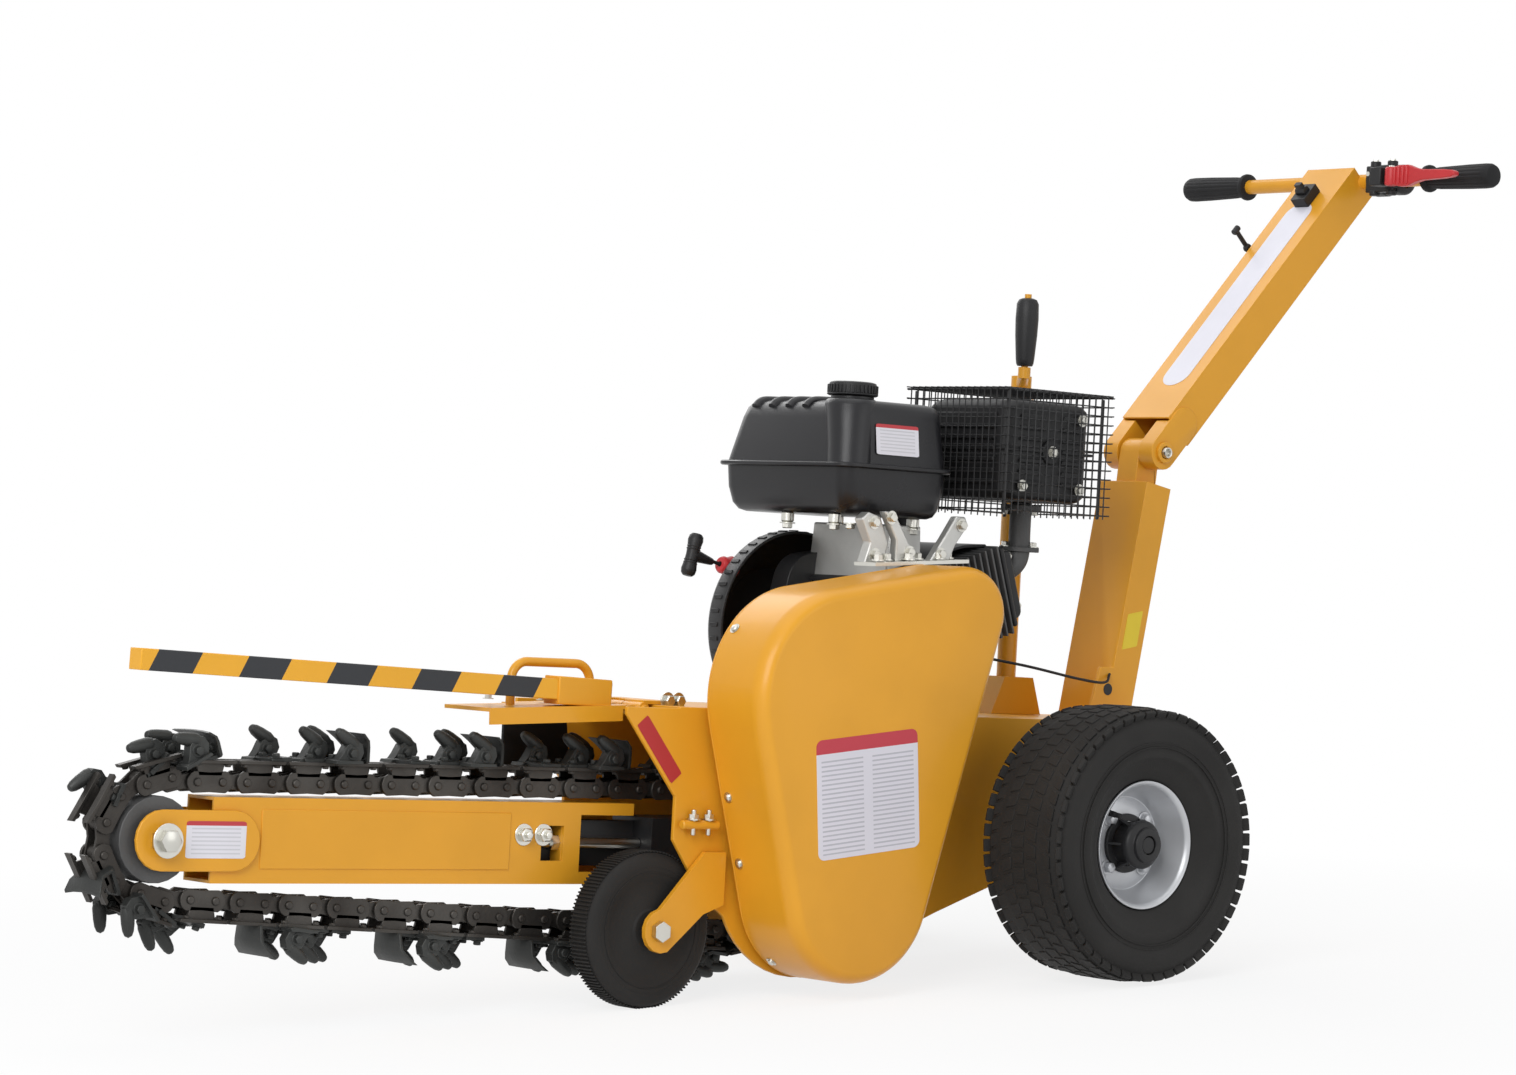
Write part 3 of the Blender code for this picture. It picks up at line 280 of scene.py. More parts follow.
def loftRings(bm, rings):
    joinRings(bm, rings)
    bm.faces.new(rings[0][::-1])
    bm.faces.new(rings[-1])


def addPlate(bm, outline, y):  # an (x, z) outline extruded between two y values
    near, far = [[bm.verts.new((p[0], depth, p[1])) for p in outline] for depth in y]
    loftRings(bm, [near, far])
    return near + far


def aim(axis):  # turns +Z to a direction
    return Vector(axis).normalized().to_track_quat("Z", "Y").to_matrix().to_4x4()


def addTurned(bm, profile, centre, axis=(0, 1, 0), steps=48):  # (radius, place) points turned about an axis
    rings = []
    for radius, place in profile:
        count = steps if radius > 0 else 1
        rings.append(
            [bm.verts.new((radius * math.cos(a), radius * math.sin(a), place)) for a in onCircle(steps)[:count]]
        )
    joinRings(bm, rings + rings[:1] if profile[0][0] > 0 else rings)
    made = [vertex for ring in rings for vertex in ring]
    bmesh.ops.transform(bm, matrix=Matrix.Translation(centre) @ aim(axis), verts=made)
    return made


def onCircle(count):  # angles evenly round a circle
    return [2 * math.pi * i / count for i in range(count)]


def addBar(bm, start, end, radius, steps=20):  # a round bar with softened ends
    start, end = Vector(start), Vector(end)
    length = (end - start).length
    soft = min(radius * 0.25, length * 0.2)
    profile = [
        (0, 0), (radius - soft, 0), (radius, soft), (radius, length - soft), (radius - soft, length), (0, length)
    ]
    return addTurned(bm, profile, start, end - start, steps)


def smoothRoute(points, perSpan=8):  # a smooth open curve through the points
    points = [Vector(p) for p in points]
    padded = [2 * points[0] - points[1], *points, 2 * points[-1] - points[-2]]
    route = []
    for a, b, c, d in zip(padded, padded[1:], padded[2:], padded[3:]):
        for i in range(perSpan):
            t = i / perSpan
            route.append(
                0.5 * (2 * b + (c - a) * t + (2 * a - 5 * b + 4 * c - d) * t**2 + (3 * b - a - 3 * c + d) * t**3)
            )
    return route + [points[-1]]


def addTube(bm, route, radius, steps=12):  # a closed tube along a route
    route = [Vector(p) for p in route]
    rings, side = [], None
    for i, point in enumerate(route):
        ahead = (route[min(i + 1, len(route) - 1)] - route[max(i - 1, 0)]).normalized()
        if side is None:
            side = ahead.orthogonal().normalized()
        side = (side - ahead * side.dot(ahead)).normalized()
        up = ahead.cross(side)
        rings.append(
            [bm.verts.new(point + (side * math.cos(a) + up * math.sin(a)) * radius) for a in onCircle(steps)]
        )
    loftRings(bm, rings)


def addDisc(bm, radius, low, high, spot, axis=(0, 1, 0), steps=48):
    return addTurned(bm, [(0, low), (radius, low), (radius, high), (0, high)], spot, axis, steps)


def addHexBolt(bm, place, axis, radius, height, washer=True):  # a hex head on its washer, pointing along axis
    place, axis = Vector(place), Vector(axis).normalized()
    low = 0
    if washer:
        addDisc(bm, radius * 1.45, 0, height * 0.22, place, axis, 24)
        low = height * 0.2
    addTurned(
        bm,
        [(0, low), (radius, low), (radius, low + height * 0.85), (radius * 0.82, low + height), (0, low + height)],
        place, axis, 6,
    )


def arc(centre, radius, start, end, steps):  # degrees from +x towards +z
    turns = [math.radians(start + (end - start) * i / steps) for i in range(steps + 1)]
    return [(centre[0] + radius * math.cos(a), centre[1] + radius * math.sin(a)) for a in turns]


def cross(a, b, c):
    return (b[0] - a[0]) * (c[1] - a[1]) - (b[1] - a[1]) * (c[0] - a[0])


def wrapAround(circles, steps=96):  # the outline a belt would take round (x, z, radius) circles
    points = [p for x, z, r in circles for p in arc((x, z), r, 0, 360 - 360 / steps, steps - 1)]
    points = sorted(set((round(x, 3), round(z, 3)) for x, z in points))
    halves = []
    for ordered in (points, points[::-1]):
        half = []
        for p in ordered:
            while len(half) > 1 and cross(half[-2], half[-1], p) <= 1e-6:
                half.pop()
            half.append(p)
        halves += half[:-1]
    return halves


def tidyNormals(obj, angle=35):
    obj.data.shade_smooth()
    obj.data.set_sharp_from_angle(angle=math.radians(angle))


def makePiece(name, bm, look, body, stands=(), bevel=0.0, segments=2, angle=35, toWorld=level):
    bmesh.ops.recalc_face_normals(bm, faces=bm.faces)
    mesh = bpy.data.meshes.new(name)
    bm.to_mesh(mesh)
    bm.free()
    mesh.transform(toWorld)
    obj = addObject(name, mesh)
    obj.data.materials.append(finishes[look] if isinstance(look, str) else look)
    if bevel:
        soften = obj.modifiers.new("soften", "BEVEL")
        soften.width = bevel / 1000
        soften.segments = segments
        soften.limit_method = "ANGLE"
        soften.angle_limit = math.radians(angle)
        soften.harden_normals = False
    tidyNormals(obj, angle + 5)
    if body:
        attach(obj, body)
    if stands:
        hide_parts(*stands)
    return obj


def makeBolts(name, body, spots, axis, radius, height):
    bm = bmesh.new()
    for spot in spots:
        addHexBolt(bm, spot, axis, radius, height)
    makePiece(name, bm, "zinc", body)


def softenNode(node, look, bevel=1.0, angle=35):
    source = frame["nodes"][node].data
    bm = bmesh.new()
    bm.from_mesh(source)
    bmesh.ops.remove_doubles(bm, verts=bm.verts, dist=1e-5)
    bmesh.ops.dissolve_limit(bm, angle_limit=math.radians(1), verts=bm.verts, edges=bm.edges)
    return makePiece(node + "_skin", bm, look, bodyOf[node], (node,), bevel, 2, angle, toWorld=Matrix())


# ---- repeats along a path
def pathTree():
    tree = bpy.data.node_groups.new("repeatOnPath", "GeometryNodeTree")
    face = tree.interface
    face.new_socket("Path", in_out="INPUT", socket_type="NodeSocketGeometry")
    face.new_socket("Item", in_out="INPUT", socket_type="NodeSocketObject")
    face.new_socket("Count", in_out="INPUT", socket_type="NodeSocketInt")
    face.new_socket("Side", in_out="INPUT", socket_type="NodeSocketVector")
    face.new_socket("Finish", in_out="INPUT", socket_type="NodeSocketMaterial")
    face.new_socket("Geometry", in_out="OUTPUT", socket_type="NodeSocketGeometry")
    nodes, links = tree.nodes, tree.links
    given, result = nodes.new("NodeGroupInput"), nodes.new("NodeGroupOutput")
    points = nodes.new("GeometryNodeCurveToPoints")
    points.mode = "COUNT"
    item = nodes.new("GeometryNodeObjectInfo")
    ahead = nodes.new("FunctionNodeAlignRotationToVector")
    ahead.axis = "X"
    across = nodes.new("FunctionNodeAlignRotationToVector")
    across.axis = "Y"
    across.pivot_axis = "X"
    copies = nodes.new("GeometryNodeInstanceOnPoints")
    real = nodes.new("GeometryNodeRealizeInstances")
    paint = nodes.new("GeometryNodeSetMaterial")
    links.new(given.outputs["Path"], points.inputs["Curve"])
    links.new(given.outputs["Count"], points.inputs["Count"])
    links.new(given.outputs["Item"], item.inputs["Object"])
    links.new(points.outputs["Tangent"], ahead.inputs["Vector"])
    links.new(ahead.outputs["Rotation"], across.inputs["Rotation"])
    links.new(given.outputs["Side"], across.inputs["Vector"])
    links.new(points.outputs["Points"], copies.inputs["Points"])
    links.new(item.outputs["Geometry"], copies.inputs["Instance"])
    links.new(across.outputs["Rotation"], copies.inputs["Rotation"])
    links.new(copies.outputs["Instances"], real.inputs["Geometry"])
    links.new(real.outputs["Geometry"], paint.inputs["Geometry"])
    links.new(given.outputs["Finish"], paint.inputs["Material"])
    links.new(paint.outputs["Geometry"], result.inputs["Geometry"])
    return tree


repeatTree = pathTree()


def repeatOnPath(points, closed, item, count, look, side=(0, 1, 0)):
    curve = bpy.data.curves.new("path", "CURVE")
    curve.dimensions = "3D"
    spline = curve.splines.new("POLY")
    spline.points.add(len(points) - 1)
    for spot, point in zip(spline.points, points):
        spot.co = (*point, 1)
    spline.use_cyclic_u = closed
    holder = addObject("path", curve)
    bmesh.ops.recalc_face_normals(item, faces=item.faces)
    mesh = bpy.data.meshes.new("item")
    item.to_mesh(mesh)
    item.free()
    one = addObject("item", mesh)
    spread = holder.modifiers.new("repeat", "NODES")
    spread.node_group = repeatTree
    sockets = {
        socket.name: socket.identifier for socket in repeatTree.interface.items_tree if socket.in_out == "INPUT"
    }
    spread[sockets["Item"]] = one
    spread[sockets["Count"]] = count
    spread[sockets["Side"]] = side
    spread[sockets["Finish"]] = finishes[look]
    bpy.context.view_layer.update()
    result = bpy.data.meshes.new_from_object(holder.evaluated_get(bpy.context.evaluated_depsgraph_get()))
    bpy.data.objects.remove(holder)
    bpy.data.objects.remove(one)
    bm = bmesh.new()
    bm.from_mesh(result)
    return bm


# ---- digging chain, on the boom
chain = {"pitch": 37.0, "links": 66, "headTeeth": 16, "noseTeeth": 12, "plate": 4.2, "platform": 24, "phase": 1.0}
head = levelPlace("boom_lift")
nose = levelPlace("nose_wheel_spin")
headRadius = chain["pitch"] / (2 * math.sin(math.pi / chain["headTeeth"]))
noseRadius = chain["pitch"] / (2 * math.sin(math.pi / chain["noseTeeth"]))


def onChain(distance):  # the place on the pitch line and the outward angle there
    reach = math.dist((head.x, head.z), (nose.x, nose.z))
    lean = math.degrees(math.atan2(nose.z - head.z, head.x - nose.x))
    slope = math.degrees(math.asin((headRadius - noseRadius) / reach))
    top, bottom = 90 - lean + slope, 270 - lean - slope
    span = math.sqrt(reach**2 - (headRadius - noseRadius) ** 2)
    noseArc = math.radians(bottom - top) * noseRadius
    headArc = math.radians(360 - bottom + top) * headRadius
    distance %= 2 * span + noseArc + headArc
    legs = (
        (span, head, headRadius, top, 0),
        (noseArc, nose, noseRadius, top, 1),
        (span, nose, noseRadius, bottom, 0),
        (headArc, head, headRadius, bottom, 1),
    )
    for length, centre, radius, angle, turning in legs:
        if distance < length:
            break
        distance -= length
    if turning:
        angle += math.degrees(distance / radius)
    out = Vector((math.cos(math.radians(angle)), 0, math.sin(math.radians(angle))))
    along = Vector((-out.z, 0, out.x))
    return centre + out * radius + along * (0 if turning else distance), angle


def chainPath(step, start, count):  # points in the order that puts outward on the item's +Z
    return [onChain((start + i * step) * chain["pitch"])[0] for i in range(count)][::-1]


def linkOutline(half, radius, waist, steps=7):
    ends = arc((half, 0), radius, -70, 70, steps) + [(0, waist)] + arc((-half, 0), radius, 110, 250, steps)
    return ends + [(0, -waist)]


def linkItem(outer):
    bm = bmesh.new()
    half = chain["pitch"] / 2
    for side in (-1, 1):
        inside = 12.6 if outer else 8
        span = sorted((side * inside, side * (inside + chain["plate"])))
        addPlate(bm, linkOutline(half, 14.5 if outer else 13.5, 12.5 if outer else 9), span)
        if outer:
            riser = [(-17, 8), (17, 8), (21, chain["platform"]), (-21, chain["platform"])]
            addPlate(bm, riser, span)
            shelf = sorted((side * (inside - 1), side * (inside + 11)))
            top = chain["platform"]
            addPlate(bm, [(-33, top - 1), (33, top - 1), (35, top + 3.5), (-35, top + 3.5)], shelf)
            for place in (-24, 24):
                addHexBolt(bm, (place, side * (inside + 5.5), top - 1), (0, 0, -1), 4.6, 4, washer=False)
    for place in (-half, half):
        if outer:
            profile = [(0, -20), (4, -20), (5.5, -18.6), (5.5, 18.6), (4, 20), (0, 20)]
            addTurned(bm, profile, (place, 0, 0), steps=12)
        else:
            addTurned(
                bm,
                [(9.5, -7.6), (10.5, -6.6), (10.5, 6.6), (9.5, 7.6), (5.6, 7.6), (5.6, -7.6)],
                (place, 0, 0), steps=14,
            )
    return bm


def addFinger(bm, y, size=1.0):  # a forged claw: foot, elbow and a rounded finger that leans forward
    top = chain["platform"] + 3.5
    web = [(-15, top), (20, top), (27, top + 14), (24, top + 25), (13, top + 31), (1, top + 23), (-6, top + 11)]
    addPlate(bm, [(p[0] * size, top + (p[1] - top) * size) for p in web], (y - 7.5, y + 7.5))
    addPlate(bm, [(-19, top - 0.5), (24, top - 0.5), (22, top + 4), (-17, top + 4)], (y - 13, y + 13))
    root, tip = Vector((20, y, top + 21)), Vector((-13, y, top + 42))
    profile = [(0, 0), (7.5, 2), (9, 8), (8.4, 22), (7.2, 31), (4.8, 37), (0, 39.5)]
    addTurned(bm, profile, root, tip - root, steps=14)
    addHexBolt(bm, (9, y - 7.3, top + 13), (0, -1, 0), 6, 5)
    addHexBolt(bm, (9, y + 7.3, top + 13), (0, 1, 0), 6, 5)


def toothItem(spots):
    bm = bmesh.new()
    top = chain["platform"]
    low, high = min(spots) - 9, max(spots) + 9
    low, high = min(low, -20), max(high, 20)
    addPlate(bm, [(-13, top + 2), (17, top + 2), (17, top + 8), (-13, top + 8)], (low, high))
    for y in spots:
        addFinger(bm, y)
    for y in (-15.5, 15.5):
        addHexBolt(bm, (-4, y, top + 8), (0, 0, 1), 5.4, 5)
    return bm


def cupItem():  # a folded scoop plate on the platform, with its two bolts
    bm = bmesh.new()
    top = chain["platform"] + 3
    rows = [(16, top, 24), (16, top + 3, 27), (14, top + 21, 30), (8, top + 30, 37), (-3, top + 39, 41)]
    thick = 4.5
    loops = []
    for x, z, half in rows:
        for back in (0, thick):
            ys = [-half, -half * 0.5, 0, half * 0.5, half]
            sag = [0, 3.2, 4.4, 3.2, 0]
            loops.append([bm.verts.new((x + back + bend, y, z)) for y, bend in zip(ys, sag)])
    fronts, backs = loops[::2], loops[1::2]
    for sheet in (fronts, backs):
        for first, second in zip(sheet, sheet[1:]):
            for i in range(4):
                bm.faces.new((first[i], first[i + 1], second[i + 1], second[i]))
    for first, second in ((fronts[0], backs[0]), (fronts[-1], backs[-1])):
        for i in range(4):
            bm.faces.new((first[i], first[i + 1], second[i + 1], second[i]))
    for end in (0, -1):
        for i in range(len(fronts) - 1):
            bm.faces.new((fronts[i][end], fronts[i + 1][end], backs[i + 1][end], backs[i][end]))
    addPlate(bm, [(-16, top - 1), (22, top - 1), (22, top + 4), (-16, top + 4)], (-21, 21))
    for y in (-12, 12):
        addHexBolt(bm, (-6, y, top + 4), (0, 0, 1), 5.4, 5)
        addHexBolt(bm, (18, y, top + 13), (-1, 0, 0), 5.2, 4.5)
    return bm


def makeChain():
    half = chain["links"] // 2
    groups = chain["links"] // 6
    outer = repeatOnPath(chainPath(2, 0, half), True, linkItem(True), half, "chain")
    makePiece("chain_outer_links", outer, "chain", "boom", bevel=0.5, segments=1)
    inner = repeatOnPath(chainPath(2, 1, half), True, linkItem(False), half, "chain")
    makePiece("chain_inner_links", inner, "chain", "boom", bevel=0.4, segments=1)
    stations = {"first": (0, (-34, 30)), "middle": (1.5, (-4,)), "last": (3, (30,))}
    for name, (step, spots) in stations.items():
        path = chainPath(6, chain["phase"] + step, groups)
        teeth = repeatOnPath(path, True, toothItem(spots), groups, "tooth")
        makePiece("chain_teeth_" + name, teeth, "tooth", "boom", bevel=0.8, segments=1)
    cups = repeatOnPath(chainPath(6, chain["phase"] - 1.05, groups), True, cupItem(), groups, "tooth")
    made = makePiece("chain_cups", cups, "tooth", "boom", bevel=0.6, segments=1)
    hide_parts("digging_chain")


makeChain()
print("digging chain ready")


# ---- wheels
tyre = {"lugRows": 54, "lugTall": 3.0}


def radialPath(count, radius, centre, turn=0.0):
    turns = [2 * math.pi * (i + turn) / count for i in range(count)]
    return [(centre[0] + radius * math.cos(a), centre[1], centre[2] + radius * math.sin(a)) for a in turns]


def lugItem(long, wide, tall, slant=0.0, drop=0.0):  # long round the tyre, wide across it
    bm = bmesh.new()
    low, high = -3.0, tall
    corners = [(-long / 2, -wide / 2), (long / 2, -wide / 2), (long / 2, wide / 2), (-long / 2, wide / 2)]
    rings = []
    for z, shrink in ((low, 1.0), (high, 0.9)):
        rings.append(
            [bm.verts.new((x * shrink + y * slant, y * shrink, z - drop * (y / wide + 0.5))) for x, y in corners]
        )
    loftRings(bm, rings)
    return bm


def joinInto(bm, other):
    mesh = bpy.data.meshes.new("part")
    other.to_mesh(mesh)
    other.free()
    bm.from_mesh(mesh)
    bpy.data.meshes.remove(mesh)


def tyreProfile():  # (radius, place) points over the tread and down both walls
    outer, half = 186.5, 76.0
    points = [(87, -47), (92, -54), (104, -60), (118, -68), (121, -71.5), (126, -72), (130, -71.5), (148, -74.5)]
    points += [(158, -75.8), (166, -75), (174, -70.5), (180.5, -63), (184.5, -52), (outer, -34), (outer + 0.6, 0)]
    mirrored = [(r, -p) for r, p in points[:-1]][::-1]
    inner = [(97, 44), (140, 56), (166, 48), (172, 0), (166, -48), (140, -56), (97, -44)]
    return points + mirrored + inner


def makeTyre(end, body):
    centre = levelPlace("rear_wheel_" + end + "_spin")
    bm = bmesh.new()
    addTurned(bm, tyreProfile(), centre, steps=120)
    rows = tyre["lugRows"]
    lugs = (
        (185.3, 0, 16.5, 20, 0.0, 0),
        (185.0, 24, 17, 19, 0.25, 0.5),
        (185.0, -24, 17, 19, -0.25, 0.5),
        (182.6, 47, 17.5, 20, 0.35, 0),
        (182.6, -47, 17.5, 20, -0.35, 0),
    )
    for radius, shift, long, wide, slant, turn in lugs:
        spot = (centre[0], centre[1] + shift, centre[2])
        item = lugItem(long, wide, tyre["lugTall"] + (0 if abs(shift) < 40 else 0.6), slant)
        joinInto(bm, repeatOnPath(radialPath(rows, radius, spot, turn), True, item, rows, "tyre"))
    for side in (-1, 1):  # blocks that run over the shoulder and down the wall
        item = bmesh.new()
        tilt = math.radians(58) * side
        addBox(item, (-8.5, 8.5), (-11, 11), (-3, 3.4))
        bmesh.ops.rotate(item, verts=item.verts, matrix=Matrix.Rotation(-tilt, 3, "X"))
        spot = (centre[0], centre[1] + side * 66.5, centre[2])
        joinInto(bm, repeatOnPath(radialPath(rows, 174.5, spot, 0.5), True, item, rows, "tyre"))
        for ring in (135, 141):
            profile = [(ring - 1.2, 0), (ring, 1.6), (ring + 1.2, 0), (ring, -2)]
            addTurned(bm, [(r, side * p) for r, p in profile], centre + Vector((0, side * 73.4, 0)), steps=96)
    makePiece("tyre_" + end, bm, "tyre", body, ("rear_tyre_" + end,), bevel=0.9, segments=1, angle=40)


def makeRim(end, body, side):
    centre = levelPlace("rear_wheel_" + end + "_spin")
    bm = bmesh.new()
    out = side  # +1 where the open face of the rim points to +Y
    well = [(87.5, 54), (88, 51), (84, 47), (82, 42), (80, 30), (74, 22), (70, 14), (69, -14), (74, -22), (80, -30)]
    well += [(84, -47), (88, -51), (87.5, -54), (83, -52), (80.5, -46), (77, -32), (71, -24), (66, -16), (65.5, 2)]
    disc = [(60, 7), (50, 10), (42, 11), (31.5, 9), (31.5, 13), (42, 15.5), (52, 14.5), (64, 10)]
    disc += [(66, 14), (71, 24), (77, 33), (80.5, 46), (83, 52)]
    profile = [(r, out * p) for r, p in well + disc]
    addTurned(bm, profile, centre, steps=96)
    for i in range(4):
        turn = math.radians(45 + 90 * i)
        spot = centre + Vector((47 * math.cos(turn), out * 15, 47 * math.sin(turn)))
        addHexBolt(bm, spot, (0, out, 0), 7.5, 9)
    makePiece("rim_" + end, bm, "rim", body, ("rear_rim_" + end,), bevel=0.8, segments=2, angle=50)
    bm = bmesh.new()
    hub = [(13, -52), (30, -52), (30, 40), (33, 44), (33, 49), (30, 52), (24, 55), (24, 60), (22, 61.5), (13, 61.5)]
    addTurned(bm, [(r, out * p) for r, p in hub], centre, steps=64)
    addTurned(bm, [(0, out * 57), (11.6, out * 57), (11.6, out * 59.5), (0, out * 60.5)], centre, steps=32)
    addTurned(bm, [(30.5, out * 16), (41, out * 16), (40, out * 20), (30.5, out * 21)], centre, steps=48)
    for i in range(6):  # ribs from the hub to the disc
        turn = Matrix.Rotation(math.radians(60 * i), 4, "Y")
        rib = addPlate(bm, [(29, 0), (40, 0), (29, 20)], (-2, 2))
        for vertex in rib:
            r, across, deep = vertex.co.x, vertex.co.y, vertex.co.z
            vertex.co = turn @ Vector((r, out * (19 + deep), across))
            vertex.co += centre
    makePiece("hub_" + end, bm, "black", body, bevel=0.8, segments=2, angle=50)
    bm = bmesh.new()
    spot = centre + Vector((0, 0, 70))
    turn = Matrix.Translation(centre) @ Matrix.Rotation(math.radians(-52), 4, "Y") @ Matrix.Translation(-centre)
    stem = addBar(bm, spot + Vector((0, out * 22, 3)), spot + Vector((0, out * 46, -5)), 4.2, 14)
    stem += addBar(bm, spot + Vector((0, out * 45, -4.8)), spot + Vector((0, out * 54, -6.6)), 3.6, 12)
    bmesh.ops.transform(bm, matrix=turn, verts=stem)
    makePiece("valve_" + end, bm, "rubber", body)


for end, side in (("near", -1), ("far", 1)):
    makeTyre(end, "rear_wheel_" + end)
    makeRim(end, "rear_wheel_" + end, side)


def makeFrontWheel():
    centre = levelPlace("front_wheel_spin")
    bm = bmesh.new()
    half, radius = 24.6, 101.5
    side = [
        (23, -half), (27, -half), (29, -half + 3), (66, -half + 5), (70, -half + 2), (88, -half + 0.5),
        (95, -half + 2.5), (radius - 1, -half + 7),
    ]
    crown = [(radius, -12), (radius + 0.3, 0)]
    profile = side + crown + [(radius, 12)] + [(r, -p) for r, p in side][::-1]
    profile += [(12.5, half), (12.5, -half)]
    addTurned(bm, profile, centre, steps=120)
    count = 120
    item = lugItem(2.6, 34, 0.5)
    joinInto(bm, repeatOnPath(radialPath(count, radius - 0.2, centre), True, item, count, "tyre"))
    for ring in (76, 83):
        for out in (-1, 1):
            profile = [(ring - 1, 0), (ring, 1.4), (ring + 1, 0), (ring, -2)]
            addTurned(bm, [(r, out * p) for r, p in profile], centre + Vector((0, out * (half - 1.4), 0)), steps=96)
    makePiece("front_tyre", bm, "tyre", "front_roller", ("front_wheel",), bevel=0.7, segments=1, angle=50)


makeFrontWheel()
print("wheels ready")


# ---- belt cover, its plate and its label
cover = {"roundness": 26, "wall": 2.5, "hollow": 24, "points": 240, "screws": (198, 222, 250, 290, 330, 28, 140)}
coverLow, coverHigh = levelBox("belt_cover")
jackshaft = levelPlace("jackshaft_spin")
crankshaft = levelPlace("engine_spin")
coverCircles = (
    (jackshaft.x, jackshaft.z - 12, jackshaft.x - coverLow.x),
    (crankshaft.x + 1, coverHigh.z - 64, 64),
    (head.x + 7, coverLow.z + 124, 124),
)


def coverOutline(grow, count):
    return evenly(wrapAround([(x, z, r + grow) for x, z, r in coverCircles]), count)


def makeCover():
    bm = bmesh.new()
    face, back, round_ = coverLow.y, coverHigh.y, cover["roundness"]
    rows = [(0, back)]
    for step in range(9):  # the edge rolls over from the band into the face
        turn = math.radians(90 * step / 8)
        rows.append((round_ * 0.62 * (1 - math.cos(turn)), face + round_ * (1 - math.sin(turn))))
    rings = []
    for inset, y in rows:
        rings.append([bm.verts.new((p[0], y, p[1])) for p in coverOutline(-inset, cover["points"])])
    inner = coverOutline(-cover["wall"], cover["points"])
    walls = [[bm.verts.new((p[0], y, p[1])) for p in inner] for y in (face + cover["hollow"], back)]
    loftRings(bm, walls + rings)
    makePiece("cover_shell", bm, "orange", "chassis", ("belt_cover",), angle=40)


def evenly(outline, count):  # the same outline with its points evenly spread, from its highest angle
    centre = Vector((sum(p[0] for p in outline) / len(outline), sum(p[1] for p in outline) / len(outline)))
    ordered = sorted(outline, key=lambda p: math.atan2(p[1] - centre.y, p[0] - centre.x))
    result = []
    for k in range(count):  # rays from the middle, so that neighbouring rings line up
        turn = -math.pi + 2 * math.pi * (k + 0.5) / count
        way = Vector((math.cos(turn), math.sin(turn)))
        best = None
        for a, b in zip(ordered, ordered[1:] + ordered[:1]):
            a, b = Vector(a) - centre, Vector(b) - centre
            edge = b - a
            bottom = way.x * edge.y - way.y * edge.x
            if abs(bottom) < 1e-9:
                continue
            reach = (a.x * edge.y - a.y * edge.x) / bottom
            share = (a.x * way.y - a.y * way.x) / bottom
            if reach > 0 and -1e-6 <= share <= 1 + 1e-6:
                best = reach if best is None else max(best, reach)
        result.append((centre.x + way.x * best, centre.y + way.y * best))
    return result


def makeCoverScrews():
    bm = bmesh.new()
    outline = coverOutline(0, 360)
    middle = Vector((sum(p[0] for p in outline) / 360, sum(p[1] for p in outline) / 360))
    for place in cover["screws"]:  # degrees round the cover
        x, z = outline[int((place + 180) % 360)]
        before, after = outline[int((place + 179) % 360)], outline[int((place + 181) % 360)]
        out = Vector((after[1] - before[1], 0, before[0] - after[0])).normalized()
        if out.dot(Vector((x - middle.x, 0, z - middle.y))) < 0:
            out = -out
        spot = Vector((x, coverHigh.y - 12, z))
        addDisc(bm, 7.5, -1, 1, spot, out, 20)
        addTurned(bm, [(0, 0.8), (5, 0.8), (5, 2.4), (3.4, 4), (0, 4.4)], spot, out, 16)
    makePiece("cover_screws", bm, "zinc", "chassis")


# a plain plate with a coloured head and faint ruled rows
def labelFinish(name, ground, header, line, rows, columns):
    made = finish(name, ground, 0.38, patch=0.04, grain=0.02)
    tree = made.node_tree
    spot = addNode(tree, "Attribute", attribute_name="sheet").outputs["Vector"]
    split = addNode(tree, "SeparateXYZ", {0: spot}).outputs

    def between(value, low, high):
        return maths(
            tree, "MULTIPLY", maths(tree, "GREATER_THAN", value, low), maths(tree, "LESS_THAN", value, high)
        )

    def shares(axis, count):
        return maths(tree, "FRACT", maths(tree, "MULTIPLY", split[axis], count))

    ruled = maths(tree, "LESS_THAN", shares("Y", rows), 0.36)
    inside = between(shares("X", columns), 0.09, 0.91)
    faint = maths(tree, "MULTIPLY", between(split["Y"], 0.04, 0.84), 0.55)
    ink = maths(tree, "MULTIPLY", maths(tree, "MULTIPLY", ruled, inside), faint)
    paintOver(made, [(ink, line), (maths(tree, "GREATER_THAN", split["Y"], 0.88), header)])
    return made


# a thin plate: its low corner, then its two edges
def makeSheet(name, corners, look, body, thick=0.5, rounding=0.06, out=(0, -1, 0)):
    start, along, up = (Vector(v) for v in corners)
    bm = bmesh.new()
    shape = []
    near, far = rounding, 1 - rounding
    for centre, begin in (((far, far), 0), ((near, far), 90), ((near, near), 180), ((far, near), 270)):
        shape += arc(centre, rounding, begin, begin + 90, 6)
    lift = Vector(out) * thick
    layer = bm.verts.layers.float_vector.new("sheet")
    rings = []
    for height in (Vector((0, 0, 0)), lift):
        ring = []
        for x, y in shape:
            vertex = bm.verts.new(start + along * x + up * y + height)
            vertex[layer] = (x, y, 0)
            ring.append(vertex)
        rings.append(ring)
    loftRings(bm, rings)
    return makePiece(name, bm, look, body)


plateLook = labelFinish("plainPlate", (0.72, 0.70, 0.76), (0.52, 0.05, 0.07), (0.30, 0.30, 0.34), 26, 2)
smallLook = labelFinish("smallPlate", (0.74, 0.73, 0.78), (0.5, 0.05, 0.06), (0.45, 0.45, 0.48), 9, 1)


def makeBackPlate():
    bm = bmesh.new()
    addPlate(bm, coverOutline(0.5, 180), (coverHigh.y + 0.4, coverHigh.y + 3.0))
    makePiece("cover_rim", bm, "orange", "chassis", bevel=0.5, segments=1)


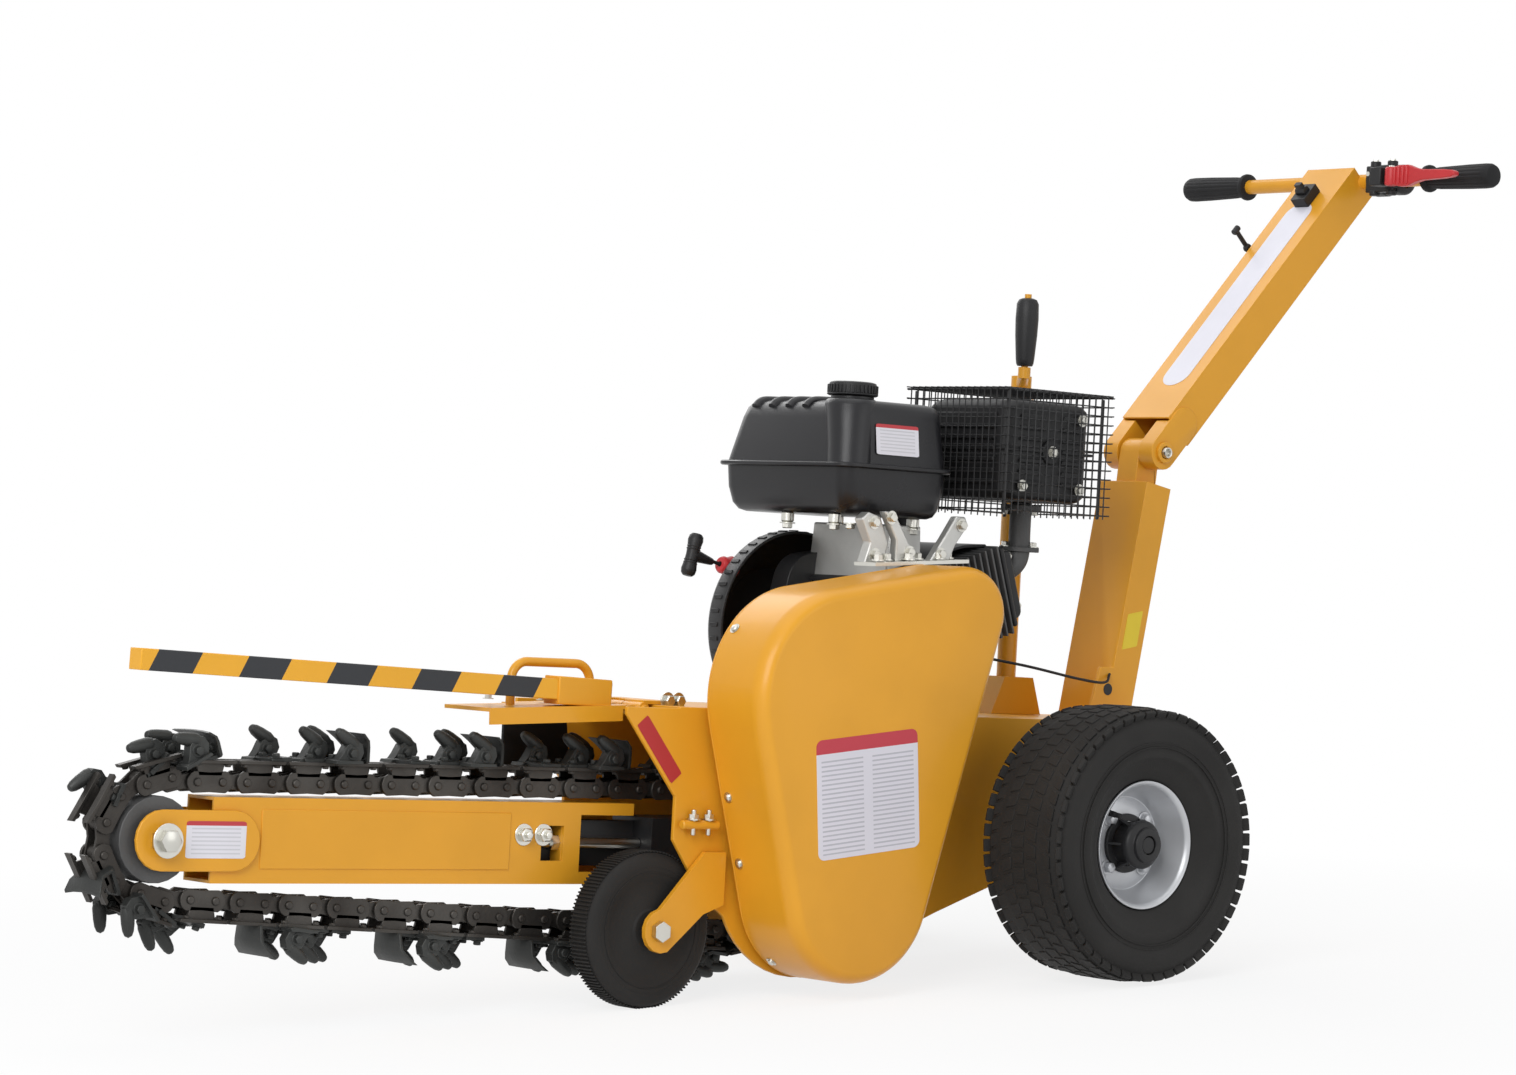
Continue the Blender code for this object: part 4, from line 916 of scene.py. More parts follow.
makeCover()
makeCoverScrews()
makeBackPlate()
makeSheet("cover_plate", ((-493, coverLow.y, -33), (177, 0, 21), (-15, 0, 158)), plateLook, "chassis")
print("belt cover ready")


# ---- engine
def roundedRing(bm, z, x, y, radius, steps=7):  # a rounded rectangle of vertices at one height
    corners = ((x[1], y[1], 0), (x[0], y[1], 90), (x[0], y[0], 180), (x[1], y[0], 270))
    ring = []
    for cx, cy, begin in corners:
        mx = cx - math.copysign(radius, cx - sum(x) / 2)
        my = cy - math.copysign(radius, cy - sum(y) / 2)
        ring += [bm.verts.new((*p, z)) for p in arc((mx, my), radius, begin, begin + 90, steps)]
    return ring


tank = {"seam": 496, "shoulder": 562, "ribs": (140, 104, 68, 32)}
tankLow, tankHigh = levelBox("fuel_tank")
capSpot = (levelPlace("fuel_cap_turn").x, levelPlace("fuel_cap_turn").y)


def tankSection(z, inset, radius, leanFront=0.0):
    x = (tankLow.x + 8 + inset + leanFront, tankHigh.x - 6 - inset * 0.6)
    return (z, x, (tankLow.y + 8 + inset * 0.8, tankHigh.y - 8 - inset * 0.8), radius)


def makeTank():
    seam, low, high = tank["seam"], tankLow.z, tankHigh.z - 5
    bm = bmesh.new()
    lower = [(low, 26, 16), (low + 3, 17, 18), (low + 12, 9, 22), (low + 34, 3, 24), (seam - 3, 1, 24)]
    loftRings(bm, [roundedRing(bm, *tankSection(z, inset, radius)) for z, inset, radius in lower])
    makePiece("tank_lower_half", bm, "tank", "chassis", ("fuel_tank",), bevel=0, angle=45)
    bm = bmesh.new()
    upper = [(seam + 2, 1, 24, 0), (seam + 18, 3, 25, 2), (tank["shoulder"], 9, 27, 9), (high - 12, 12, 27, 12)]
    upper += [(high - 5, 17, 25, 14), (high - 1.5, 25, 22, 16), (high, 36, 18, 18)]
    loftRings(bm, [roundedRing(bm, *tankSection(z, inset, radius, lean)) for z, inset, radius, lean in upper])
    for y in tank["ribs"]:  # swells across the top
        route = [(tankLow.x + 34, y, high - 13), (tankLow.x + 44, y, high - 5), (tankLow.x + 70, y, high - 2.5)]
        route += [(tankHigh.x - 60, y, high - 2.5), (tankHigh.x - 30, y, high - 8)]
        addTube(bm, smoothRoute(route, 5), 8, 14)
    foot, top = Vector((capSpot[0] - 30, capSpot[1] - 34, 0)), Vector((capSpot[0] - 9, capSpot[1] - 10, 0))
    rows = [
        (seam + 2, 0, 30), (seam + 30, 0.3, 31), (tank["shoulder"], 0.7, 34), (high - 8, 0.95, 37),
        (high - 2, 1, 36), (high + 1, 1, 31),
    ]
    rings = []
    for z, share, radius in rows:
        mid = foot.lerp(top, share)
        rings.append(
            [bm.verts.new((mid.x + radius * math.cos(a), mid.y + radius * math.sin(a), z)) for a in onCircle(40)]
        )
    loftRings(bm, rings)
    addDisc(bm, 30, high - 6, high + 4.5, (*capSpot, 0), (0, 0, 1), 48)
    makePiece("tank_upper_half", bm, "tank", "chassis", angle=45)
    bm = bmesh.new()
    x, y = (tankLow.x, tankHigh.x), (tankLow.y, tankHigh.y)
    rows = [(seam - 2.6, 2, 26), (seam - 1, 0, 28), (seam + 2.4, 0, 28), (seam + 4, 2, 26)]
    rings = [roundedRing(bm, z, (x[0] + i, x[1] - i), (y[0] + i, y[1] - i), r) for z, i, r in rows]
    loftRings(bm, rings)
    makePiece("tank_seam", bm, "tank", "chassis", angle=40)
    bm = bmesh.new()
    base = high + 5.5
    profile = [(0, base), (33, base), (35.5, base + 1.5), (35.5, base + 3), (33.5, base + 4), (33.5, base + 14.5)]
    profile += [(32, base + 18), (27, base + 19.5), (12, base + 18.4), (0, base + 18.2)]
    addTurned(bm, profile, (*capSpot, 0), (0, 0, 1), 72)
    item = bmesh.new()
    addBox(item, (-1.6, 1.6), (-5.6, 5.6), (-1, 1.9))
    ribs = 36
    ring = [(capSpot[0] + 33.4 * math.cos(a), capSpot[1] + 33.4 * math.sin(a), base + 9.3) for a in onCircle(ribs)]
    joinInto(bm, repeatOnPath(ring, True, item, ribs, "plastic", (0, 0, 1)))
    makePiece("fuel_cap_ribbed", bm, "plastic", "cap", ("fuel_cap",), bevel=0.4, segments=1, angle=40)
    start = (tankLow.x + 62, tankLow.y + 8.2, seam + 18)
    makeSheet("tank_label", (start, (78, 0, 0), (0, 5.2, 42)), smallLook, "chassis")
    bm = bmesh.new()
    addHexBolt(bm, (tankLow.x + 40, tankLow.y + 30, low - 12), (0, 0, -1), 7, 7)
    for x, y in ((tankLow.x + 34, 60), (tankLow.x + 34, -40), (tankHigh.x - 40, -50), (tankHigh.x - 40, 110)):
        addBar(bm, (x, y, low - 14), (x, y, low + 1), 9, 20)
        addHexBolt(bm, (x, y, low - 14), (0, 0, -1), 7.5, 7)
    makePiece("tank_feet", bm, "zinc", "chassis")


makeTank()
engineCase = {"fins": 11, "finGap": 11.5, "slots": 30}
cylinderFoot, cylinderHead = Vector((-240, 0, 268)), Vector((10, 0, 352))
cylinderWay = (cylinderHead - cylinderFoot).normalized()
cylinderUp = Vector((-cylinderWay.z, 0, cylinderWay.x))


def onCylinder(along, up):  # (x, z) from the cylinder's foot
    spot = cylinderFoot + cylinderWay * along + cylinderUp * up
    return spot.x, spot.z


def slantedBox(bm, start, end, deep, y, radius=10):  # a rounded block along the cylinder's slant
    outline = []
    for cx, cz, begin in ((end, deep, 0), (start, deep, 90), (start, -deep, 180), (end, -deep, 270)):
        mx, mz = cx - math.copysign(radius, cx - (start + end) / 2), cz - math.copysign(radius, cz)
        outline += [onCylinder(*p) for p in arc((mx, mz), radius, begin, begin + 90, 4)]
    addPlate(bm, outline, y)


def makeEngine():
    bm = bmesh.new()
    case = wrapAround([(-292, 296, 26), (-190, 306, 24), (-300, 196, 18), (-176, 190, 16)])
    addPlate(bm, evenly(case, 80), (-80, 100))
    addPlate(bm, [(-332, 160.6), (-140, 160.6), (-140, 171), (-150, 175), (-322, 175), (-332, 171)], (-76, 86))
    slantedBox(bm, 10, 92, 60, (-76, 62), 16)
    addPlate(bm, [(-236, 318), (-164, 318), (-170, 420), (-226, 420)], (-52, 112))
    for x in (-318, -286, -254, -222, -190):
        addPlate(bm, [(x, 176), (x + 5, 176), (x + 5, 300), (x, 300)], (-86, 106))
    makePiece("crankcase", bm, "cast", "chassis", ("engine_block",), bevel=2.5, segments=3)
    bm = bmesh.new()
    for i in range(engineCase["fins"]):
        along = 104 + engineCase["finGap"] * i
        slantedBox(bm, along, along + 3.4, 64, (-82, 64), 1.5)
    slantedBox(bm, 96, 232, 50, (-66, 50), 18)
    makePiece("cylinder_fins", bm, "iron", "chassis", bevel=0.5, segments=1)
    bm = bmesh.new()
    slantedBox(bm, 232, 258, 50, (-66, 50), 11)
    slantedBox(bm, 232, 240, 58, (-74, 56), 3.5)
    makePiece("valve_cover", bm, "black", "chassis", bevel=3, segments=3)
    bm = bmesh.new()
    for up, y in ((46, -62), (46, 46), (-46, -62), (-46, 46)):
        addHexBolt(
            bm,
            cylinderFoot + cylinderWay * 262 + cylinderUp * up * 0.8 + Vector((0, y * 0.8, 0)),
            cylinderWay, 6, 6,
        )
    ledge = [(-318, 360), (-146, 372), (-146, 377), (-318, 365)]
    addPlate(bm, ledge, (-128, -84))
    for i in range(6):
        x = -300 + 28 * i
        addHexBolt(bm, (x, -112 + 14 * (i % 2), 366 + 12 * (x + 318) / 172), (0, 0, 1), 6.5, 8)
    makePiece("engine_bolts", bm, "zinc", "chassis")
    bm = bmesh.new()
    arms = (
        [(-310, 364), (-276, 366), (-268, 392), (-284, 428), (-306, 434), (-318, 424), (-300, 392)],
        [(-262, 368), (-222, 371), (-240, 396), (-268, 436), (-286, 436), (-262, 398)],
        [(-204, 372), (-168, 374), (-158, 396), (-136, 424), (-142, 436), (-158, 436), (-180, 404)],
    )
    for outline, y in zip(arms, ((-96, -78), (-106, -92), (-112, -98))):
        addPlate(bm, outline, y)
    makePiece("tank_brackets", bm, "cast", "chassis", bevel=2.2, segments=3)
    spots = [
        (-296, -96, 420), (-274, -106, 428), (-149, -112, 424), (-186, -112, 382), (-238, -106, 382),
        (-292, -96, 376),
    ]
    makeBolts("bracket_bolts", "chassis", spots, (0, -1, 0), 6.5, 6)
    bm = bmesh.new()  # the sheet cowl that leads the fan's air over the cylinder
    cowl = [
        (20, 70), (60, 78), (120, 80), (180, 76), (222, 66), (222, 62), (180, 72), (120, 76), (60, 74), (20, 66)
    ]
    addPlate(bm, [onCylinder(*p) for p in cowl], (-58, 112))
    makePiece("cylinder_cowl", bm, "black", "chassis", bevel=1.2, segments=2)


def makeFanShroud():
    centre = Vector((crankshaft.x, 0, crankshaft.z))
    low, high = levelBox("fan_shroud")
    radius, back, face = (high.x - low.x) / 2, low.y, high.y
    bm = bmesh.new()
    profile = [
        (radius, back), (radius, back + 26), (radius - 4, back + 33), (radius - 14, back + 40),
        (radius - 30, back + 46),
    ]
    profile += [
        (102, back + 50), (98, face - 8), (93, face - 2), (86, face), (40, face), (34, face - 3), (0, face - 3)
    ]
    profile += [
        (0, face - 6), (84, face - 6), (95, back + 46), (radius - 16, back + 34), (radius - 4, back + 24),
        (radius - 4, back),
    ]
    addTurned(bm, profile, centre, steps=96)
    slots = engineCase["slots"]
    item = bmesh.new()
    addBox(item, (-2.4, 2.4), (-1.2, 4), (-17, 17))
    ring = radialPath(slots, 66, (centre.x, face - 2, centre.z))
    joinInto(bm, repeatOnPath(ring, True, item, slots, "black"))
    item = bmesh.new()
    addBox(item, (-3, 3), (-8, 8), (-2, 1.8))
    joinInto(
        bm, repeatOnPath(radialPath(44, radius - 0.5, (centre.x, back + 16, centre.z)), True, item, 44, "black")
    )
    addPlate(bm, evenly(wrapAround([(-236, 330, 46), (-130, 352, 40), (-236, 268, 60)]), 60), (96, back + 4))
    makePiece("fan_housing", bm, "black", "chassis", ("fan_shroud",), bevel=0.8, segments=2)
    bm = bmesh.new()
    for turn in (30, 150, 270):
        way = Vector((math.cos(math.radians(turn)), 0, math.sin(math.radians(turn))))
        addHexBolt(bm, centre + way * 112 + Vector((0, back + 44, 0)), (0, 1, 0), 6, 6)
    addHexBolt(bm, centre + Vector((0, face - 3, 0)), (0, 1, 0), 9, 6)
    makePiece("fan_housing_bolts", bm, "zinc", "chassis")


def makeRecoil():
    low, high = levelBox("recoil_handle")
    spot = (low + high) / 2
    guide, grip = Vector((high.x + 22, spot.y, spot.z - 13)), Vector((high.x - 36, spot.y, spot.z - 1))
    way = (grip - guide).normalized()
    bm = bmesh.new()
    rows = [(0, -14), (15, -14), (16, -6), (12, 2), (12.5, 8), (10, 12), (4, 12.5), (4, 6), (0, 6)]
    addTurned(bm, rows, guide, way, 32)
    makePiece("rope_guide", bm, "red", "chassis", bevel=0.6)
    bm = bmesh.new()
    start, end = guide + way * 2, grip + way * 2
    route = [start.lerp(end, i / 24) for i in range(25)]
    addTube(bm, route, 2.6, 12)
    rope = makePiece("starter_rope", bm, "rubber", None)
    return rope, level @ (guide + way * 12), level @ (grip - way * 12)


def makeRecoilGrip():
    foot, top = Vector((-402, 172, 334)), Vector((-388, 172, 394))
    bm = bmesh.new()
    length = (top - foot).length
    profile = [
        (0, 0), (7, 0.6), (10, 4), (11, 10), (9.4, 20), (8.8, length / 2), (9.4, length - 20), (11, length - 10),
        (10, length - 4), (7, length - 0.6), (0, length),
    ]
    addTurned(bm, profile, foot, top - foot, 28)
    for i in range(5):
        for sign in (-1, 1):
            mid = foot.lerp(top, 0.5 + sign * (0.13 + 0.06 * i))
            addTurned(bm, [(8, -1.4), (10.2, -0.6), (10.2, 0.6), (8, 1.4)], mid, top - foot, 24)
    stem = [(0, 0), (9, 0), (8.4, 10), (6.8, 22), (5.2, 34), (4.2, 37), (0, 37)]
    addTurned(bm, stem, Vector((-394, 172, 364)), Vector((38, 0, -9)), 24)
    makePiece("recoil_grip", bm, "plastic", "starter", ("recoil_handle",), bevel=0.4, segments=1)


makeEngine()
makeFanShroud()
makeRecoilGrip()
rope, ropeStart, ropeEnd = makeRecoil()
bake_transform(rope)
print("engine ready")


# ---- muffler in its wire cage, exhaust and air cleaner
cage = {"wire": 0.95, "pitch": 12.6, "overhang": 8}


def makeMuffler():
    low, high = levelBox("muffler")
    bm = bmesh.new()
    rows = [(low.z, 12), (low.z + 3, 5), (low.z + 10, 0), (high.z - 10, 0), (high.z - 3, 5), (high.z, 12)]
    rings = [roundedRing(bm, z, (low.x + i, high.x - i), (low.y + i, high.y - i), 22) for z, i in rows]
    loftRings(bm, rings)
    middle = (low.z + high.z) / 2
    slats = [(low.z + 22 + 15.5 * i) for i in range(7)]
    for z in slats:
        for x in ((low.x + 20, low.x + 68), (high.x - 62, high.x - 20)):
            addPlate(bm, [(x[0], z), (x[1], z), (x[1] - 3, z + 6), (x[0] + 3, z + 6)], (low.y - 5, low.y + 4))
        addBox(bm, (low.x - 5, low.x + 4), (low.y + 24, high.y - 24), (z, z + 6))
    addTurned(bm, [(0, 6), (19, 6), (17, -5), (0, -5)], ((low.x + high.x) / 2, low.y, middle), (0, 1, 0), 32)
    addPlate(
        bm,
        [(low.x - 1, middle - 2), (high.x + 1, middle - 2), (high.x + 1, middle + 2), (low.x - 1, middle + 2)],
        (low.y - 2, high.y + 2),
    )
    makePiece("muffler_shell", bm, "black", "chassis", ("muffler",), bevel=1.2, segments=2)
    face, right = low.y - 5, high.x - 26
    spots = [((low.x + high.x) / 2, face, middle), (right, face, high.z - 22), (right, face, low.z + 20)]
    makeBolts("muffler_bolts", "chassis", spots + [(low.x + 26, face, low.z + 20)], (0, -1, 0), 6, 6)


def wireRow(bm, start, way, length, across, span):  # parallel wires, one pitch apart
    count = max(2, round(span / cage["pitch"]) + 1)
    start, way, across = Vector(start), Vector(way), Vector(across)
    item = bmesh.new()
    half = length / 2
    addDisc(item, cage["wire"], -half, half, (0, 0, 0), (0, 1, 0), 6)
    path = [start + way * half + across * (span * i / (count - 1)) for i in range(count)]
    joinInto(bm, repeatOnPath([tuple(p) for p in path], False, item, count, "cage", tuple(way)))


def makeCage():
    low, high = levelBox("muffler_cage")
    size = high - low
    skin, over = cage["wire"], cage["overhang"]
    bm = bmesh.new()
    x, y, z = Vector((1, 0, 0)), Vector((0, 1, 0)), Vector((0, 0, 1))
    for depth in (low.y + skin, high.y - skin):
        wireRow(bm, (low.x + 2, depth, low.z - over * 0.4), z, size.z + over * 0.4, x, size.x - 4)
        wireRow(
            bm,
            (low.x - over, depth + 2 * skin * (1 if depth < 0 else -1), low.z + 2),
            x, size.x + 2 * over, z, size.z - 6,
        )
    for depth in (low.x + skin, high.x - skin):
        wireRow(bm, (depth, low.y + 2, low.z - over * 0.4), z, size.z + over * 0.4, y, size.y - 4)
        wireRow(bm, (depth + 2 * skin, low.y - over, low.z + 2), y, size.y + 2 * over, z, size.z - 6)
    wireRow(bm, (low.x - over, low.y + 2, high.z - skin), x, size.x + 2 * over, y, size.y - 4)
    wireRow(bm, (low.x + 2, low.y - over, high.z - 3 * skin), y, size.y + 2 * over, x, size.x - 4)
    makePiece("cage_wires", bm, "cage", "chassis", ("muffler_cage",))
    bm = bmesh.new()
    for px, py in (
        (low.x + 6, low.y + 8), (high.x - 6, low.y + 8), (low.x + 6, high.y - 8), (high.x - 6, high.y - 8)
    ):
        addBar(bm, (px, py, low.z - 3), (px, py, high.z - 6), 2.6, 10)
    for py in (low.y + 22, high.y - 22):
        addBox(bm, (low.x + 4, high.x - 4), (py - 8, py + 8), (low.z + 1, low.z + 3))
    makePiece("cage_frame", bm, "cage", "chassis", bevel=0.3, segments=1)


def makeExhaust():
    low, high = levelBox("exhaust_pipe")
    spot = Vector(((high.x - 17), (low.y + 17.3), 0))
    bm = bmesh.new()
    route = [
        (spot.x, spot.y, high.z), (spot.x, spot.y, high.z - 40), (spot.x, spot.y, 392),
        (spot.x - 6, spot.y + 2, 376), (spot.x - 20, spot.y + 8, 364),
    ]
    addTube(bm, smoothRoute(route, 8), 15.4, 28)
    for z in (high.z - 6, 398):
        addPlateZ(
            bm,
            wrapAround([(spot.x, spot.y, 20), (spot.x + 14, spot.y - 14, 9), (spot.x - 14, spot.y + 14, 9)]),
            (z - 4, z + 3),
        )
    makePiece("exhaust_tube", bm, "iron", "chassis", ("exhaust_pipe",), bevel=0.8)
    bm = bmesh.new()
    for way in (-1, 1):
        addHexBolt(bm, (spot.x - 14 * way, spot.y + 14 * way, 401), (0, 0, 1), 5.5, 6)
        addHexBolt(bm, (spot.x - 14 * way, spot.y + 14 * way, high.z - 10), (0, 0, -1), 5.5, 6)
    makePiece("exhaust_bolts", bm, "zinc", "chassis")


def addPlateZ(bm, outline, z):  # an (x, y) outline extruded upward
    outline = evenly(outline, 48)
    low = [bm.verts.new((p[0], p[1], z[0])) for p in outline]
    high = [bm.verts.new((p[0], p[1], z[1])) for p in outline]
    loftRings(bm, [low, high])


def makeAirCleaner():
    low, high = levelBox("air_cleaner")
    centre = Vector(((low.x + high.x) / 2, 0, 500))
    bm = bmesh.new()
    profile = [
        (0, 100), (58, 100), (62, 104), (62, 112), (65.5, 114), (65.5, 122), (62.5, 124), (62.5, 160), (60, 168),
        (50, 175), (30, 177), (0, 177),
    ]
    addTurned(bm, profile, centre, steps=80)
    item = bmesh.new()
    addBox(item, (-1.5, 1.5), (-16, 16), (-1.5, 1.6))
    joinInto(bm, repeatOnPath(radialPath(40, 62.4, (centre.x, 142, centre.z)), True, item, 40, "plastic"))
    elbow = [(centre.x, 118, 440), (centre.x, 118, 405), (centre.x, 108, 384), (centre.x - 2, 78, 376)]
    addTube(bm, smoothRoute(elbow, 8), 19, 24)
    makePiece("air_filter_housing", bm, "plastic", "chassis", ("air_cleaner",), bevel=0.7)
    bm = bmesh.new()
    addTurned(bm, [(0, 176), (9, 176), (9, 180), (4, 182), (0, 182)], centre, steps=20)
    addBox(bm, (centre.x - 15, centre.x + 15), (176.5, 181.5), (centre.z - 2, centre.z + 2))
    makePiece("filter_wing_nut", bm, "zinc", "chassis", bevel=0.8)
    bm = bmesh.new()  # carburettor body between the cylinder and the filter's elbow
    addBar(bm, (centre.x, 58, 376), (centre.x, 92, 376), 22, 28)
    addBox(bm, (centre.x - 20, centre.x + 20), (66, 90), (352, 378))
    addTurned(
        bm, [(0, 322), (18, 322), (22, 328), (22, 348), (18, 354), (0, 354)], (centre.x, 80, 0), (0, 0, 1), 32
    )
    makePiece("carburettor", bm, "cast", "chassis", bevel=1.4)
    bm = bmesh.new()
    route = [
        (tankHigh.x - 30, 120, tankLow.z), (tankHigh.x - 24, 122, 410), (-130, 118, 384), (-100, 100, 366),
        (centre.x - 14, 84, 360),
    ]
    addTube(bm, smoothRoute(route, 8), 3.6, 12)
    makePiece("fuel_line", bm, "rubber", "chassis")


makeMuffler()
makeCage()
makeExhaust()
makeAirCleaner()
print("muffler and air cleaner ready")


# ---- handle, its strip, grips and controls
handle = {"flutes": 18, "strip": (112, 512), "stripHalf": 25}
fold = levelPlace("handle_fold")
barSpot = Vector((698, 0, 988))
beamRun = (barSpot - fold).normalized()
beamUp = Vector((-beamRun.z, 0, beamRun.x))
beamHalf = 29


def onBeam(along, across, out):
    return fold + beamRun * along + Vector((0, across, 0)) + beamUp * out


def makeStrip():  # a plain pale strip with round ends on the beam's upper face
    first, last = handle["strip"]
    half = handle["stripHalf"]
    outline = arc((last - half, 0), half, -90, 90, 16) + arc((first + half, 0), half, 90, 270, 16)
    bm = bmesh.new()
    rings = [[bm.verts.new(onBeam(a, b, beamHalf + out)) for a, b in outline] for out in (-0.2, 0.6)]
    loftRings(bm, rings)
    makePiece("handle_strip", bm, "decal", "handle")


def makeGrip(end, tip, sign):
    rows = [(0, 0), (10, 0), (15.5, 2), (18, 7), (18.6, 16), (18.2, 50), (16.6, 104), (15.4, 118), (15.2, 122)]
    rows += [(20, 124), (20.6, 127), (20, 131), (13, 132), (0, 132)]
    bm = bmesh.new()
    steps = handle["flutes"] * 4
    rings = []
    for radius, place in rows:
        count = steps if radius else 1
        ring = []
        for k in range(count):
            turn = 2 * math.pi * k / steps
            sink = 0.9 if k % 4 == 0 and 15 < place < 121 else 0
            r = radius - sink
            ring.append(
                bm.verts.new(barSpot + Vector((r * math.cos(turn), tip + sign * place, r * math.sin(turn))))
            )
        rings.append(ring)
    joinRings(bm, rings)
    makePiece("grip_" + end, bm, "rubber", "handle", ("hand_grip_" + end,), bevel=0.4, segments=1)


def makeClamp():
    bm = bmesh.new()
    x, z = barSpot.x, barSpot.z
    profile = [
        (11.5, -136), (20, -136), (23, -132), (23, -118), (19, -114), (19, -104), (24, -100), (24, -78), (20, -70),
        (11.5, -70),
    ]
    addTurned(bm, profile, (x, 0, z), (0, 1, 0), 40)
    addBox(bm, (x - 26, x - 15), (-130, -76), (z - 20, z + 20))
    addBox(bm, (x - 58, x - 15), (-134, -112), (z - 14, z + 14))
    for y in (-124, -90):
        addDisc(bm, 8, 0, 10, (x - 20, y, z + 17), (0, 0, 1), 20)
        addDisc(bm, 8, 0, 8, (x - 20, y, z - 25), (0, 0, 1), 20)
    makePiece("clamp_body", bm, "plastic", "handle", ("control_clamp",), bevel=1.6)
    bm = bmesh.new()
    for y in (-124, -90):
        addDisc(bm, 4.5, 0, 3, (x - 20, y, z + 27), (0, 0, 1), 6)
        addDisc(bm, 3.6, 0, 2.5, (x - 26, y + 8, z + 8), (-1, 0, 0), 14)
    makePiece("clamp_screws", bm, "zinc", "handle")


def makeDriveLever():
    x, z = barSpot.x, barSpot.z
    bm = bmesh.new()
    blade = [(-150, 13), (-166, 16), (-182, 16), (-196, 11), (-210, 8), (-252, 6.5), (-268, 5), (-274, 2.5)]
    outline = blade + [(y, -h) for y, h in blade[::-1]]
    loftRings(bm, [[bm.verts.new((x - depth, y, z + h)) for y, h in outline] for depth in (52, 40)])
    for y in (-158, -166, -174, -182):
        addBox(bm, (x - 54.5, x - 50), (y - 2, y + 2), (z - 13, z + 13))
    addTurned(bm, [(0, -14), (9, -14), (10, -11), (10, 11), (9, 14), (0, 14)], (x - 46, -146, z), (0, 0, 1), 24)
    makePiece("lever_blade", bm, "red", bodyOf["drive_lever"], ("drive_lever",), bevel=1.6)
    bm = bmesh.new()
    addTurned(bm, [(0, 13.4), (5, 13.4), (4.2, 16), (0, 16.2)], (x - 46, -146, z), (0, 0, 1), 16)
    makePiece("lever_screw", bm, "zinc", bodyOf["drive_lever"])


def makeThrottle():
    bm = bmesh.new()
    y = 60
    base = onBeam(420, y, 0)
    tip = onBeam(420, y, 60)
    addTurned(bm, [(0, 0), (9, 0), (10, 3), (10, 11), (8, 15), (0, 15)], onBeam(420, 49, 0), (0, 1, 0), 28)
    addBar(bm, base, tip, 3.6, 14)
    addBar(bm, tip - beamRun * 7, tip + beamRun * 7, 5, 16)
    addTurned(bm, [(0, -6), (5.5, -4), (7, 0), (5.5, 4), (0, 6)], onBeam(420, y, 24), (0, 1, 0), 20)
    makePiece("throttle_stalk", bm, "plastic", bodyOf["throttle_lever"], ("throttle_lever",), bevel=0.5, segments=1)


def makeSwitch():
    softenNode("switch_box", "plastic", 1.6)
    softenNode("stop_switch", "black", 0.8)


def makeFold():
    bm = bmesh.new()
    for y, way in ((-50, -1), (50, 1)):
        addTurned(
            bm, [(9.4, 0), (15.5, 0), (15.5, 4), (14.5, 5), (9.4, 5)], fold + Vector((0, y, 0)), (0, way, 0), 40
        )
    makePiece("fold_bosses", bm, "orange", "handle", bevel=0.5, segments=1)
    bm = bmesh.new()
    addTurned(
        bm,
        [(0, -54), (5.2, -54), (5.6, -59), (7.4, -60), (8, -59), (8, 59), (7.4, 60), (0, 60)],
        fold, (0, 1, 0), 32,
    )
    makePiece("fold_pin_turned", bm, "zinc", bodyOf["fold_pin"], ("fold_pin",))


makeStrip()
makeGrip("near", -308, 1)
makeGrip("far", 322, -1)
makeClamp()
makeDriveLever()
makeThrottle()
makeSwitch()
makeFold()
print("handle ready")


# ---- guard over the chain, with its bar and loop
def makeGuard():
    bm = bmesh.new()
    bm.from_mesh(frame["nodes"]["guard_plate"].data)
    bm.transform(unlevel)
    bmesh.ops.remove_doubles(bm, verts=bm.verts, dist=0.01)
    tops = [vertex.co for vertex in bm.verts if vertex.co.z > 190]
    first, last = min(p.x for p in tops) + 6, max(p.x for p in tops) - 6
    across = sum(p.y for p in tops) / len(tops)
    high = max(p.z for p in tops) - 6
    parts = bm.verts[:] + bm.edges[:] + bm.faces[:]
    bmesh.ops.bisect_plane(bm, geom=parts, plane_co=(0, 0, 170), plane_no=(0, 0, 1), clear_outer=True)
    bmesh.ops.holes_fill(bm, edges=[edge for edge in bm.edges if edge.is_boundary])
    bmesh.ops.dissolve_limit(bm, angle_limit=math.radians(1), verts=bm.verts, edges=bm.edges)
    makePiece("guard_sheet", bm, "orange", "guard", ("guard_plate",), bevel=0.8)
    turn = 24  # the bend's radius
    corners = arc((first + turn, high - turn), turn, 180, 90, 9) + arc((last - turn, high - turn), turn, 90, 0, 9)
    route = [Vector((first, across, 150 + 4 * i)) for i in range(9)]
    route += [Vector((x, across, z)) for x, z in corners]
    route += [Vector((last, across, 186 - 4 * i)) for i in range(9)]
    bm = bmesh.new()
    addTube(bm, route, 6.1, 20)
    makePiece("lifting_loop", bm, "orange", "guard")
    makeBolts("guard_bolts", "guard", [(-856, 12, 158), (-760, 22, 158), (-690, 30, 158)], (0, 0, 1), 5, 5)


def makeHazardBar():
    low, high = levelBox("hazard_bar")
    run = Vector((high.x - low.x, 0, low.z + 22.5 - (high.z - 22.5))).normalized()
    world = level.to_3x3().normalized() @ run
    start = level @ Vector((low.x - 119, -40, high.z - 22))
    look = hazardFinish(start, world, 0.1385, 0.067, 0.55, 0.759)
    softenNode("hazard_bar", look, 2.2)
    bm = bmesh.new()
    addPlate(bm, [(-792, 156), (-704, 154), (-704, 190), (-792, 193)], (-56, -23))
    makePiece("bar_sleeve", bm, "orange", "guard", bevel=1.6)


makeGuard()
makeHazardBar()
print("guard ready")


